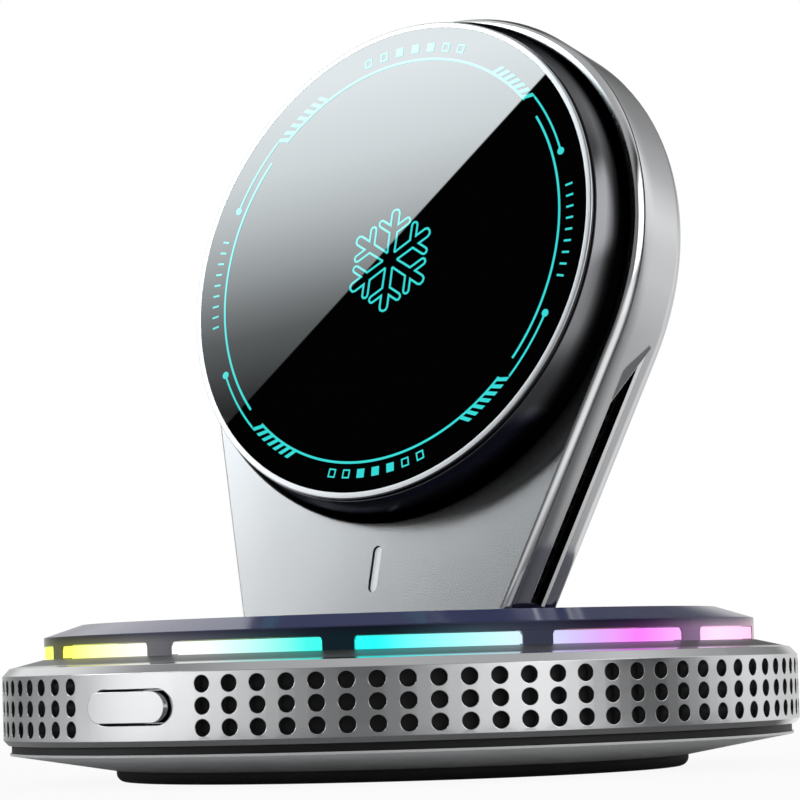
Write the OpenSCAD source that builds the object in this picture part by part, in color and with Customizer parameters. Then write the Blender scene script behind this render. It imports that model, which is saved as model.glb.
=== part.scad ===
// Magnetic phone cooler on a weighted desk base.
// Millimetres. Z is up, the front of the base faces -Y, the origin is the centre of the foot on the table.

/* [Base] */
// Outer radius of the perforated band
base_r = 50; // [47:0.5:60]
// Height of the rubber foot pad
foot_h = 1.5; // [1:0.1:3]
// How far the foot pad sits in from the band
foot_inset = 14; // [11:0.5:16]
// Height of the tapered lower shell
shell_h = 2.5; // [2.3:0.1:4]
// Thickness of the lower shell's floor
floor_t = 1.6; // [1.2:0.1:1.8]
// Height of the dark groove between lower shell and band
groove_h = 0.95; // [0.6:0.05:1.5]
// Height of the perforated band, bevels included
band_h = 9.5; // [9:0.1:12]
// Wall of the perforated band
band_t = 1.4; // [1:0.1:1.6]
// Height of the bevel at the band's lower edge
band_low_bevel = 0.65; // [0.4:0.05:0.9]
// Height of the bevel at the band's upper edge
band_top_bevel = 0.95; // [0.5:0.05:1.2]
// Rise of the shoulder from the band to the light windows
shoulder_h = 1; // [0.7:0.1:1.6]
// Thickness of the shoulder
shoulder_t = 1.1; // [0.8:0.1:1.3]
// Wall of the dark liner behind the holes
liner_t = 0.6; // [0.4:0.1:0.8]

/* [Perforation] */
// Columns of holes on the full circle
hole_columns = 90; // [60:2:96]
// Rows of holes
hole_rows = 3; // [2:1:3]
// Diameter of one hole
hole_d = 2; // [1.4:0.1:2.2]
// Height between rows
row_pitch = 2.52; // [2.3:0.01:2.7]

/* [Light ring and top cover] */
// How far the light windows sit in from the band
tier_inset = 5.3; // [4.5:0.1:7]
// Number of light windows
window_count = 12; // [8:1:16]
// Height of the light windows
window_h = 1.65; // [1.2:0.05:2.4]
// Width of the posts between windows
post_w = 3.74; // [2:0.1:6]
// Wall of the light frame
frame_t = 1.3; // [1:0.1:1.6]
// Radial depth of the light guide behind the frame
guide_depth = 1.7; // [1.2:0.1:2.2]
// Height of the light frame below the windows
frame_foot_h = 1.45; // [1.2:0.05:1.6]
// Thickness of the LED board
led_board_t = 1; // [0.8:0.1:1.6]
// Number of LEDs on the board
led_count = 24; // [12:1:36]
// Upright edge of the top cover
cover_wall_h = 1.08; // [0.8:0.05:2]
// Rise of the top cover's bevel
cover_bevel_h = 1.5; // [1:0.1:2.2]
// Run of the top cover's bevel
cover_bevel_w = 4.7; // [3:0.1:6]
// Thickness of the top cover
cover_t = 1.6; // [1.2:0.1:2]

/* [Power button] */
// Length of the button's opening in the band
button_hole_w = 12.6; // [9:0.1:15]
// Height of the button's opening in the band
button_hole_h = 4.25; // [3:0.05:5]
// Gap round the button
button_gap = 0.3; // [0.2:0.05:0.5]
// How far the button stands out of the band
button_proud = 1; // [0.7:0.1:1.6]
// Travel of the button
button_travel = 0.6; // [0.3:0.1:0.6]

/* [Power inlet] */
// Width of the socket's shell
usb_w = 8.94; // [8.94:0.01:9.2]
// Height of the socket's shell
usb_h = 3.26; // [3.16:0.01:3.4]
// Length of the socket
usb_len = 8.5; // [7:0.1:10]
// Sheet of the socket's shell
usb_t = 0.3; // [0.2:0.05:0.35]

/* [Tilt hinge] */
// Hinge axis behind the base's centre
hinge_y = -1.4; // [-4:0.1:4]
// Hinge axis below the top of the base
hinge_drop = 4.18; // [3.6:0.02:5]
// Backward lean of the arm at rest
tilt = 14.6; // [8:0.1:20]
// Forward travel of the arm from rest
tilt_forward = 8; // [0:1:8]
// Backward travel of the arm from rest
tilt_back = 12; // [0:1:12]
// Radius of the hinge pin
pin_r = 2; // [1.5:0.1:2.2]
// Wall of the hinge barrel round the pin
barrel_wall = 1.8; // [1.4:0.1:1.9]
// Half length of the hinge barrel
barrel_half = 10.6; // [8:0.1:11]
// Thickness of a friction washer
washer_t = 0.5; // [0.3:0.1:0.8]
// Thickness of a bracket ear
ear_t = 2.5; // [2:0.1:3]
// Thickness of the steel weight plate
weight_t = 3; // [2:0.1:3.6]

/* [Arm] */
// Distance from the hinge axis to the head's centre
head_s = 48.6; // [46:0.1:60]
// Radius of the arm's round top
arm_r = 35; // [34.8:0.1:40]
// Slope of each straight side
arm_taper = 19; // [17:0.1:21]
// Thickness of the arm
arm_t = 11; // [10.8:0.1:13]
// Rounding of the arm's back edge
arm_fillet = 3; // [1:0.1:3.4]
// Polished bevel on the front plate's edge
arm_bevel = 0.7; // [0.4:0.05:0.8]
// Thickness of the front plate
plate_t = 1.2; // [1.1:0.1:1.6]
// Side wall of the rear shell
arm_wall = 1.6; // [1.2:0.1:2]
// Back wall of the rear shell
back_wall = 1.5; // [1.3:0.1:2]
// Side air outlet, front edge measured from the front of the arm
vent_front = 4.1; // [3.6:0.1:4.6]
// Side air outlet, width
vent_w = 2.9; // [2:0.1:3]
// Side air outlet, length along the side
vent_len = 34; // [24:1:34]
// Slant of the air outlet's upper end
vent_slant = 7; // [4:0.1:8]
// Start of the air outlet below the arm's round top
vent_drop = 0.4; // [0.3:0.1:2]
// Width of the indicator slot on the neck
lens_w = 1.4; // [1:0.1:2.5]
// Length of the indicator slot on the neck
lens_len = 6; // [4:0.1:8]
// Height of the indicator slot's centre above the hinge axis
lens_s = 9.1; // [9:0.05:12]
// Depth of the indicator lens below the front plate's face
lens_recess = 0.4; // [0.1:0.05:0.6]

/* [Head] */
// Outer radius of the bright bezel ring
rim_r = 32.15; // [31.8:0.05:32.2]
// Radial width of the bezel ring
bezel_w = 0.85; // [0.75:0.05:1.1]
// Height of the bezel ring
bezel_h = 0.7; // [0.5:0.05:0.9]
// Thickness of the front glass
glass_t = 1; // [0.8:0.1:1.1]
// How far the glass lies behind the bezel's front
glass_recess = 0.15; // [0.05:0.05:0.3]
// Depth of the head in front of the arm
puck_depth = 6.2; // [6.2:0.1:8]
// Radius of the head's body behind the bezel
puck_front_r = 32.3; // [32.3:0.1:33]
// Radius of the head's body at the arm
puck_rear_r = 33.6; // [33.2:0.1:34.4]
// Wall of the head's body
puck_wall = 2.3; // [2.1:0.1:2.6]
// Floor of the head's body
puck_floor = 1; // [0.8:0.1:1.2]
// Thickness of the cold plate
cold_t = 1; // [0.8:0.1:1.1]
// Thickness of the magnets
magnet_t = 2; // [1.7:0.1:2]
// Number of magnets
magnet_count = 16; // [12:2:20]
// Side of the thermoelectric module
peltier_w = 30; // [24:1:32]
// Thickness of the thermoelectric module
peltier_t = 3; // [2.6:0.1:3.2]

/* [Fan] */
// Radius of the heat sink
sink_r = 29.4; // [28.6:0.1:29.6]
// Thickness of the heat sink's base
sink_base_t = 1.4; // [1.2:0.1:1.6]
// Number of heat sink fins
fin_count = 36; // [28:4:36]
// Thickness of one fin
fin_t = 0.9; // [0.6:0.1:1]
// Radius of the fan over its blades
fan_r = 16.3; // [15:0.1:16.8]
// Number of fan blades
blade_count = 11; // [7:1:15]
// Thickness of one blade
blade_t = 0.8; // [0.6:0.1:1]
// Radius of the fan's hub
hub_r = 7.6; // [7.4:0.1:9]
// Radius of the fan's shaft
shaft_r = 1; // [0.8:0.05:1.1]
// Radius of the air intake in the back
intake_r = 15.5; // [14:0.1:16]

/* [Hidden] */
$fn = 96;

// Clearances
gap = 0.1;
seat_gap = 0.2;
run_fit = 0.03;
swing_gap = 0.6;
eps = 0.01;

// Heights of the base, from the table up
z_shell = foot_h;
z_floor = z_shell + floor_t;
z_rim = z_shell + shell_h;
z_band = z_rim + groove_h;
z_band_top = z_band + band_h;
z_tier = z_band_top + shoulder_h;
z_cover = z_tier + window_h;
z_cover_edge = z_cover + cover_wall_h;
z_top = z_cover_edge + cover_bevel_h;
z_led_board = z_tier - frame_foot_h;
z_weight = z_floor + weight_t;
hinge_z = z_top - hinge_drop;
row_z = z_band + (band_low_bevel + band_h - band_top_bevel) / 2;

// Radii of the base
foot_ledge = 0.5;
shell_inset = 0.8;
shell_edge_h = 0.3;
rim_w = 3.7;
band_low_inset = 0.6;
band_top_inset = 0.9;
foot_r = base_r - foot_inset;
shell_low_r = foot_r + foot_ledge;
shell_r = base_r - shell_inset;
rim_in_r = shell_r - rim_w;
band_in_r = base_r - band_t;
band_low_r = base_r - band_low_inset;
band_top_r = base_r - band_top_inset;
liner_r = band_in_r - gap;
flange_r = (band_in_r + band_low_r) / 2;
tier_r = base_r - tier_inset;
shoulder_in_r = tier_r + seat_gap;
guide_r = tier_r - frame_t - gap;
guide_in_r = guide_r - guide_depth;
led_post_inset = 1.6;
led_post_r = guide_in_r - led_post_inset;
led_post_angles = [0, 40, 140, 180, 220, 320];
screw_inset = 11.7;
screw_circle = tier_r - screw_inset;
post_r = 2.6;
led_board_in_r = screw_circle + post_r + 2 * seat_gap;
rib_t = 1;
rib_h = 1.5;
weight_r = screw_circle - post_r - rib_t;
screw_split_h = 4.05;
screw_split_z = z_band + screw_split_h;
screw_bite = 5;
screw_r = 1.25;
screw_head_r = 2.2;
screw_head_h = 1.3;

// Boards in the base
board_t = 1.2;
support_r = 2;
main_board_z = row_z - usb_h / 2;
main_board_half = 18;
main_board_edge = 1.4;
main_board_y = weight_r + rib_t;
main_board_r = liner_r - liner_t - main_board_edge;
main_post_x = 14;
main_post_inset = 3.5;
main_post_y = main_board_y + main_post_inset;
switch_h = 3.4;
switch_w = 6;
switch_len = 3.3;
switch_board_z = row_z - switch_h / 2;
switch_board_half = 10;
switch_post_x = 7.5;

// Button, measured along Y at the front
button_w = button_hole_w - 2 * button_gap;
button_h = button_hole_h - 2 * button_gap;
button_flange = 0.7;
button_flange_t = 0.8;
guide_clear = 0.15;
guide_margin = 2.2;
guide_half = button_w / 2 + guide_margin;
guide_front_y = -sqrt(pow(liner_r - liner_t, 2) - pow(guide_half, 2)) + gap;
guide_t = 1.2;
flange_front_y = guide_front_y + guide_t + gap;
stem_r = 1.2;
stem_len = 0.8;
stem_tip_y = flange_front_y + button_flange_t + stem_len;
plunger_y = stem_tip_y + button_travel + gap;
plunger_len = 0.3;
plunger_r = 1.5;
switch_y = plunger_y + plunger_len;
switch_overhang = 0.4;
switch_board_y0 = switch_y - switch_overhang;
switch_board_len = 7;
switch_post_y = switch_board_y0 + switch_board_len - support_r - 2 * gap;

// Arm section, measured from the hinge axis: depth d runs back, s runs up the arm
d_front = -arm_t / 2;
d_plate = d_front + plate_t;
d_back_in = arm_t / 2 - back_wall;
d_back = arm_t / 2;
seam_h = 0.3;
seam_depth = 0.6;
arm_in_r = arm_r - arm_wall;
arm_reach = 90;
arm_bottom_s = 1;
barrel_r = pin_r + barrel_wall;
ear_in = barrel_half + washer_t + gap;
ear_clear = 0.4;
ear_r = min(barrel_r, d_back_in, -d_plate) - ear_clear;
ear_out = ear_in + ear_t;
bracket_screw_x = ear_out + screw_head_r;
bracket_half = bracket_screw_x + screw_head_r;
bracket_depth = 7;
bracket_t = 1.5;
bracket_screw_y = 4.2;
tongue_top = 14;
tongue_wide_half = 16;
tongue_wide_s = [barrel_r + swing_gap, 12.4];
arm_screw_x = 13;
arm_screw_r = 0.9;
arm_screw_head_r = 1.6;
arm_screw_head_h = 0.8;
arm_screw_skin = 0.5;
arm_screw_low = 8.65;
arm_boss_r = 1.9;
arm_boss_circle = sink_r + arm_boss_r + swing_gap;
arm_screw_s = [arm_screw_low, head_s - sqrt(pow(arm_boss_circle, 2) - pow(arm_screw_x, 2))];
vent_d0 = d_front + vent_front;
vent_d1 = vent_d0 + vent_w;
vent_t = 0.8;
vent_margin = 0.9;
vent_slots = 11;
vent_bar_w = 0.9;
grille_rim = 1.5;
grille_r = intake_r + grille_rim;
grille_t = 0.8;
grille_slot = 1.7;
grille_pitch = 3;
grille_spoke = 1.6;

// Opening in the top cover, wide enough for the arm over its whole travel
tilt_min = tilt - tilt_forward;
tilt_max = tilt + tilt_back;
cover_low_h = z_top - cover_t - hinge_z;
cover_high_h = z_top - hinge_z;
function arm_edge(t, h, side) = h * tan(t) + side * arm_t / 2 / cos(t);
function edges(side) = [
    for (t = [tilt_min, tilt_max], h = [cover_low_h, cover_high_h]) arm_edge(t, h, side)
];
slot_front = min(edges(-1)) - swing_gap;
slot_back = max(edges(1)) + swing_gap;
slot_s = (cover_high_h + arm_t / 2 * sin(tilt_max)) / cos(tilt_max);
function arm_half(s) = (arm_r + (s - head_s) * sin(arm_taper)) / cos(arm_taper);
slot_half = arm_half(slot_s) + swing_gap;

// Head, measured along its axis from the front of the bezel: depth q runs back
rim_groove = 0.3;
rim_neck_inset = 0.5;
rim_neck_r = rim_r - rim_neck_inset;
glass_r = rim_r - bezel_w - gap;
q_glass = glass_recess + glass_t;
puck_in_r = puck_front_r - puck_wall;
q_floor = puck_depth - puck_floor;
stack_r = puck_in_r - seat_gap;
bay_r = 24;
q_cold = q_floor - cold_t;
q_magnet = q_cold - magnet_t;
light_board_t = 0.7;
ferrite_t = 0.5;
coil_t = 1.2;
magnet_inset = 1.8;
magnet_w = 5.5;
magnet_r = stack_r - magnet_inset;
magnet_in_r = magnet_r - magnet_w;
coil_gap = 1.5;
coil_r = magnet_in_r - coil_gap;
coil_in_r = 9.5;
q_hot = q_floor + peltier_t;
q_plate = puck_depth + plate_t;
q_back_in = puck_depth + arm_t - back_wall;
q_sink = q_hot + sink_base_t;
fin_gap = 1.7;
fin_in_r = fan_r + fin_gap;
fin_top = q_back_in - seat_gap;
puck_screw_r = 0.9;
puck_screw_head_r = 1.5;
puck_screw_circle = 27;
puck_screw_skin = 0.2;
fan_board_t = 0.6;
fan_board_rim = 1.4;
fan_board_r = hub_r + fan_board_rim;
bearing_wall = 1.2;
bearing_r = shaft_r + bearing_wall;
hub_wall = 0.7;
hub_top_t = 0.8;
hub_clear = 0.6;
rotor_gap = 0.4;
rotor_magnet_t = 1.05;
q_hub = q_sink + fan_board_t + hub_clear;
q_hub_top = q_back_in - hub_clear + gap;
blade_top = q_back_in - hub_clear;
q_bearing_top = q_hub_top - hub_top_t - hub_clear;
q_stator_top = q_bearing_top - hub_clear;

// Moves children from the arm's frame (x, depth, height up the arm) to the base's frame
module in_arm() {
    translate([0, hinge_y, hinge_z]) rotate([-tilt, 0, 0]) children();
}

// Moves children from the head's frame (z is depth behind the bezel's front) to the base's frame
module in_head() {
    in_arm() translate([0, d_front - puck_depth, head_s]) rotate([-90, 0, 0]) children();
}

// Flat ring or disc between two heights
module ring(r_out, r_in, z0, z1) {
    translate([0, 0, z0]) difference() {
        cylinder(r = r_out, h = z1 - z0);
        if (r_in > 0) translate([0, 0, -1]) cylinder(r = r_in, h = z1 - z0 + 2);
    }
}

// Upright box given by its two corners
module box(low, high) {
    translate(low) cube(high - low);
}

// Pill outline, round ends left and right
module pill(w, h) {
    square([w - h, h], center = true);
    for (side = [-1, 1]) translate([side * (w - h) / 2, 0]) circle(d = h);
}

// Pill-shaped bar along Y between two places, at the button's height
module pill_bar(w, h, y0, y1) {
    translate([0, y1, row_z]) rotate([90, 0, 0]) linear_extrude(y1 - y0) pill(w, h);
}

// Pan-head screw, head at z = 0 and shank upwards
module screw(head_r, head_h, r, len) {
    cylinder(r = head_r, h = head_h);
    cylinder(r = r, h = head_h + len);
}

// Places children on the four corners of the screw circle
module at_screws() {
    for (a = [45:90:315]) rotate([0, 0, a]) translate([screw_circle, 0, 0]) children();
}

module at_led_posts() {
    for (a = led_post_angles) rotate([0, 0, a]) translate([led_post_r, 0, 0]) children();
}

module at_bracket_screws() {
    for (x = [-1, 1], y = [-1, 1])
        translate([x * bracket_screw_x, hinge_y + y * bracket_screw_y, 0]) children();
}

// Half section of the arm: flat from x0 to r, bevelled in front, rounded at the back
module arm_profile(x0, r, d0, d1, bevel, fillet) {
    polygon([
        [x0, d0], [r - bevel, d0], [r, d0 + bevel], [r, d1 - fillet], [r - fillet, d1], [x0, d1]
    ]);
    if (fillet > 0) translate([r - fillet, d1 - fillet]) intersection() {
        circle(r = fillet);
        square(fillet);
    }
}

// One straight side of the arm, hanging down from the head's centre
module arm_side(r, d0, d1, bevel, fillet) {
    rotate([0, arm_taper, 0]) translate([0, 0, -arm_reach])
        linear_extrude(arm_reach) arm_profile(-arm_reach, r, d0, d1, bevel, fillet);
}

// Round top and two straight sides, cut off at the arm's lower end
module arm_form(r, d0, d1, bevel = 0, fillet = 0, bottom = arm_bottom_s) {
    intersection() {
        translate([0, 0, head_s]) {
            rotate([-90, 0, 0]) rotate([0, 0, 180 - arm_taper])
                rotate_extrude(angle = 180 + 2 * arm_taper) arm_profile(0, r, d0, d1, bevel, fillet);
            intersection() {
                arm_side(r, d0, d1, bevel, fillet);
                mirror([1, 0, 0]) arm_side(r, d0, d1, bevel, fillet);
            }
        }
        box([-2 * arm_r, d0 - 1, bottom], [2 * arm_r, d1 + 1, head_s + 2 * arm_r]);
    }
}

// Slanted outline of the air outlet in one side, swept from x0 to x1 square to that side
module vent_bar(x0, x1, grow) {
    translate([0, 0, head_s]) rotate([0, arm_taper, 0]) translate([x0, 0, 0]) rotate([90, 0, 90])
        linear_extrude(x1 - x0) polygon([
            [vent_d1 + grow, grow - vent_drop], [vent_d0 - grow, grow - vent_drop - vent_slant],
            [vent_d0 - grow, -vent_len - grow], [vent_d1 + grow, -vent_len - grow]
        ]);
}

// Holes for the screws that clamp the arm, along its depth
module at_arm_screws() {
    for (x = [-1, 1], s = arm_screw_s) translate([x * arm_screw_x, 0, s]) rotate([-90, 0, 0]) children();
}

module at_puck_screws() {
    for (a = [45:90:315]) rotate([0, 0, a]) translate([puck_screw_circle, 0, 0]) children();
}

module foot_pad() {
    color("#2b2b2e") ring(foot_r, 0, 0, foot_h);
}

module bottom_shell() {
    color("#6a6b6e") difference() {
        union() {
            rotate_extrude() polygon([
                [0, z_shell], [shell_low_r, z_shell], [shell_r, z_rim - shell_edge_h], [shell_r, z_rim],
                [rim_in_r, z_rim], [shell_low_r, z_floor], [0, z_floor]
            ]);
            ring(weight_r + gap + rib_t, weight_r + gap, z_floor - eps, z_floor + rib_h);
            at_screws() ring(post_r, 0, z_floor - eps, screw_split_z);
            at_led_posts() ring(support_r, 0, z_floor, z_led_board - led_board_t);
            for (x = [-1, 1]) {
                translate([x * main_post_x, main_post_y, 0])
                    ring(support_r, 0, z_floor, main_board_z - board_t);
                translate([x * switch_post_x, switch_post_y, 0])
                    ring(support_r, 0, z_floor, switch_board_z - board_t);
            }
        }
        at_screws() {
            ring(screw_r + gap, 0, z_shell - 1, screw_split_z + 1);
            ring(screw_head_r + gap, 0, z_shell - 1, z_shell + screw_head_h);
        }
    }
}

module weight_plate() {
    color("#77797c") difference() {
        ring(weight_r, 0, z_floor, z_weight);
        at_bracket_screws() ring(screw_r, 0, z_floor - 1, z_weight + 1);
    }
}

module grille_band() {
    column_step = 360 / hole_columns;
    button_angle = asin((button_hole_w / 2 + hole_d) / base_r);
    color("#c9cacc") difference() {
        rotate_extrude() polygon([
            [band_low_r, z_band], [base_r, z_band + band_low_bevel], [base_r, z_band_top - band_top_bevel],
            [band_top_r, z_band_top], [shoulder_in_r, z_tier], [shoulder_in_r, z_tier - shoulder_t],
            [band_in_r, z_band_top - shoulder_t], [band_in_r, z_band]
        ]);
        for (k = [0:hole_columns - 1], row = [0:hole_rows - 1])
            if (abs(sin(k * column_step)) > sin(button_angle))
                translate([0, 0, row_z + (row - (hole_rows - 1) / 2) * row_pitch])
                    rotate([0, 0, k * column_step - 90]) rotate([0, 90, 0])
                        translate([0, 0, band_in_r - 1]) cylinder(d = hole_d, h = band_t + 2, $fn = 24);
        pill_bar(button_hole_w, button_hole_h, -base_r - 2, -base_r / 2);
        pill_bar(usb_w + 2 * button_gap, usb_h + 2 * button_gap, base_r / 2, base_r + 2);
    }
}

module band_liner() {
    opening_margin = 1;
    opening_w = button_hole_w + 2 * opening_margin;
    opening_h = button_hole_h + 2 * opening_margin;
    color("#141416") difference() {
        union() {
            ring(liner_r, liner_r - liner_t, z_band - eps, z_band_top - shoulder_t - gap);
            ring(flange_r, rim_in_r + gap, z_rim, z_band);
        }
        pill_bar(opening_w, opening_h, -base_r - 2, -base_r / 2);
        pill_bar(usb_w + 2 * button_gap, usb_h + 2 * button_gap, base_r / 2, base_r + 2);
    }
}

// Radial bars on the light ring, one between each pair of windows
module window_posts(w) {
    for (k = [0:window_count - 1]) rotate([0, 0, k * 360 / window_count - 90])
        translate([0, -w / 2, z_led_board - 1]) cube([base_r, w, z_top - z_led_board]);
}

module light_frame() {
    color("#15161a") {
        ring(tier_r, tier_r - frame_t, z_led_board, z_tier);
        intersection() {
            ring(tier_r, tier_r - frame_t, z_tier - eps, z_cover);
            window_posts(post_w);
        }
    }
}

module light_guide() {
    color("#e8f2f4") {
        ring(guide_r, guide_in_r, z_led_board, z_cover - gap);
        difference() {
            ring(tier_r - gap, guide_r - eps, z_tier + gap, z_cover - gap);
            window_posts(post_w + 2 * gap);
        }
    }
}

module led_board() {
    color("#1d5a3a") ring(tier_r - gap, led_board_in_r, z_led_board - led_board_t, z_led_board);
}

module leds() {
    led_w = 2;
    led_depth = 1.2;
    led_h = 1.5;
    color("#f4f1e2") for (k = [0:led_count - 1]) rotate([0, 0, (k + 0.5) * 360 / led_count - 90])
        translate([guide_in_r - seat_gap - led_depth, -led_w / 2, z_led_board])
            cube([led_depth, led_w, led_h]);
}

module top_cover() {
    lip_r = guide_in_r - swing_gap;
    cover_in_r = min(tier_r - cover_bevel_w, lip_r) - swing_gap;
    color("#191b24") difference() {
        union() {
            rotate_extrude() polygon([
                [0, z_top - cover_t], [cover_in_r, z_top - cover_t], [lip_r, z_cover],
                [tier_r, z_cover], [tier_r, z_cover_edge], [tier_r - cover_bevel_w, z_top], [0, z_top]
            ]);
            at_screws() ring(post_r, 0, screw_split_z, z_top - cover_t + eps);
        }
        box([-slot_half, hinge_y + slot_front, z_cover - 2], [slot_half, hinge_y + slot_back, z_top + 1]);
        at_screws() ring(screw_r + gap / 2, 0, screw_split_z - 1, z_cover);
    }
}

module button_guide() {
    color("#1a1a1c") difference() {
        box(
            [-guide_half, guide_front_y, z_band],
            [guide_half, guide_front_y + guide_t, z_led_board - led_board_t - gap]
        );
        pill_bar(
            button_w + 2 * guide_clear, button_h + 2 * guide_clear,
            guide_front_y - 1, guide_front_y + guide_t + 1
        );
    }
}

module switch_board() {
    color("#1d5a3a") box(
        [-switch_board_half, switch_board_y0, switch_board_z - board_t],
        [switch_board_half, switch_board_y0 + switch_board_len, switch_board_z]
    );
}

module tact_switch() {
    color("#3a3b3f") {
        box(
            [-switch_w / 2, switch_y, switch_board_z],
            [switch_w / 2, switch_y + switch_len, switch_board_z + switch_h]
        );
        translate([0, plunger_y, row_z]) rotate([-90, 0, 0]) cylinder(r = plunger_r, h = plunger_len + eps);
    }
}

module main_board() {
    color("#1d5a3a") intersection() {
        ring(main_board_r, 0, main_board_z - board_t, main_board_z);
        box([-main_board_half, main_board_y, 0], [main_board_half, base_r, z_top]);
    }
}

module usb_socket() {
    tongue_w = 6.7;
    tongue_h = 0.7;
    tongue_set_back = 1.2;
    back_wall_t = 1;
    color("#a9abb0") {
        difference() {
            pill_bar(usb_w, usb_h, base_r - usb_len, base_r);
            pill_bar(usb_w - 2 * usb_t, usb_h - 2 * usb_t, base_r - usb_len + back_wall_t, base_r + 1);
        }
        box(
            [-tongue_w / 2, base_r - usb_len + back_wall_t - eps, row_z - tongue_h / 2],
            [tongue_w / 2, base_r - tongue_set_back, row_z + tongue_h / 2]
        );
    }
}

module hinge_bracket() {
    color("#8d8f93") difference() {
        union() {
            box([-bracket_half, hinge_y - bracket_depth, z_weight],
                [bracket_half, hinge_y + bracket_depth, z_weight + bracket_t]);
            for (side = [0, 1]) mirror([side, 0, 0]) {
                box([ear_in, hinge_y - ear_r, z_weight], [ear_out, hinge_y + ear_r, hinge_z]);
                translate([ear_in, hinge_y, hinge_z]) rotate([0, 90, 0]) cylinder(r = ear_r, h = ear_t);
            }
        }
        translate([-ear_out - 1, hinge_y, hinge_z]) rotate([0, 90, 0])
            cylinder(r = pin_r, h = 2 * ear_out + 2);
        at_bracket_screws() ring(screw_r + gap, 0, z_weight - 1, z_weight + bracket_t + 1);
    }
}

module hinge_pin() {
    color("#b9bbbf") translate([-ear_out, hinge_y, hinge_z]) rotate([0, 90, 0])
        cylinder(r = pin_r, h = 2 * ear_out);
}

module friction_washers() {
    color("#c8a24a") for (side = [0, 1]) mirror([side, 0, 0])
        translate([barrel_half + gap / 2, hinge_y, hinge_z]) rotate([0, 90, 0])
            ring(ear_r, pin_r + run_fit, 0, washer_t);
}

module bracket_screws() {
    color("#b9bbbf") at_bracket_screws()
        translate([0, 0, z_weight + bracket_t + screw_head_h]) mirror([0, 0, 1])
            screw(screw_head_r, screw_head_h, screw_r, bracket_t + weight_t - 2 * seat_gap);
}

module base_screws() {
    shank = screw_split_z + screw_bite - z_shell - screw_head_h;
    color("#b9bbbf") at_screws() translate([0, 0, z_shell])
        screw(screw_head_r, screw_head_h, screw_r, shank);
}

module power_button() {
    cap_back = flange_front_y;
    color("#c9cacc") {
        intersection() {
            pill_bar(button_w, button_h, -base_r - button_proud - 1, cap_back + eps);
            cylinder(r = base_r + button_proud, h = z_top);
        }
        pill_bar(
            button_w + 2 * button_flange, button_h + 2 * button_flange,
            cap_back, cap_back + button_flange_t
        );
        translate([0, cap_back, row_z]) rotate([-90, 0, 0])
            cylinder(r = stem_r, h = button_flange_t + stem_len);
    }
}

module hinge_barrel() {
    color("#8d8f93") in_arm() difference() {
        union() {
            translate([-barrel_half, 0, 0]) rotate([0, 90, 0])
                cylinder(r = barrel_r, h = 2 * barrel_half);
            box([-barrel_half, d_plate, arm_bottom_s], [barrel_half, d_back_in, tongue_top]);
            box(
                [-tongue_wide_half, d_plate, tongue_wide_s[0]],
                [tongue_wide_half, d_back_in, tongue_wide_s[1]]
            );
        }
        translate([-barrel_half - 1, 0, 0]) rotate([0, 90, 0])
            cylinder(r = pin_r + run_fit, h = 2 * barrel_half + 2);
        at_arm_screws() ring(arm_screw_r + gap, 0, -arm_t, arm_t);
    }
}

module arm_front_plate() {
    color("#c4c5c8") in_arm() difference() {
        union() {
            arm_form(arm_r, d_front, d_plate - seam_h, bevel = arm_bevel);
            arm_form(arm_r - seam_depth, d_plate - seam_h - eps, d_plate);
            translate([0, 0, arm_screw_s[1]]) for (x = [-1, 1]) translate([x * arm_screw_x, 0, 0])
                rotate([-90, 0, 0]) ring(arm_boss_r, 0, d_plate - eps, d_back_in);
        }
        translate([0, 0, head_s]) rotate([-90, 0, 0]) ring(bay_r, 0, d_front - 1, d_plate + 1);
        translate([0, d_plate + 1, lens_s]) rotate([90, 90, 0])
            linear_extrude(plate_t + 2) pill(lens_len, lens_w);
        at_arm_screws() ring(arm_screw_r + gap / 2, 0, d_front + arm_screw_skin, d_back);
        translate([0, 0, head_s]) rotate([-90, 0, 0]) at_puck_screws()
            ring(puck_screw_r + gap, 0, d_front - 1, d_plate + 1);
    }
}

module arm_rear_shell() {
    color("#b9babd") in_arm() difference() {
        arm_form(arm_r, d_plate, d_back, fillet = arm_fillet);
        arm_form(arm_in_r, d_plate - 1, d_back_in, bottom = arm_bottom_s - 1);
        for (side = [0, 1]) mirror([side, 0, 0]) vent_bar(arm_in_r - 1, arm_r + 2, 0);
        translate([0, 0, head_s]) rotate([-90, 0, 0]) {
            ring(intake_r, 0, d_back_in - 1, d_back + 1);
            ring(grille_r + gap, 0, d_back - grille_t, d_back + 1);
        }
        at_arm_screws() {
            ring(arm_screw_r + gap, 0, d_back_in - 1, d_back + 1);
            ring(arm_screw_head_r + gap, 0, d_back - arm_screw_head_h, d_back + 1);
        }
    }
}

// Slotted black insert behind one air outlet
module vent_insert() {
    top = vent_drop + vent_slant;
    step = (vent_len - top) / vent_slots;
    slot = step - vent_bar_w;
    difference() {
        vent_bar(arm_in_r - vent_t, arm_in_r, vent_margin);
        for (k = [0:vent_slots - 1]) translate([0, 0, head_s]) rotate([0, arm_taper, 0])
            box(
                [arm_in_r - vent_t - 1, vent_d0 + seat_gap, -top - k * step - slot],
                [arm_in_r + 1, vent_d1 - seat_gap, -top - k * step]
            );
    }
}

module side_vent_right() {
    color("#0c0c0e") in_arm() vent_insert();
}

module side_vent_left() {
    color("#0c0c0e") in_arm() mirror([1, 0, 0]) vent_insert();
}

module indicator_lens() {
    color("#d8dadd") in_arm() translate([0, d_plate, lens_s]) rotate([90, 90, 0])
        linear_extrude(plate_t - lens_recess) pill(lens_len - gap, lens_w - gap);
}

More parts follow.
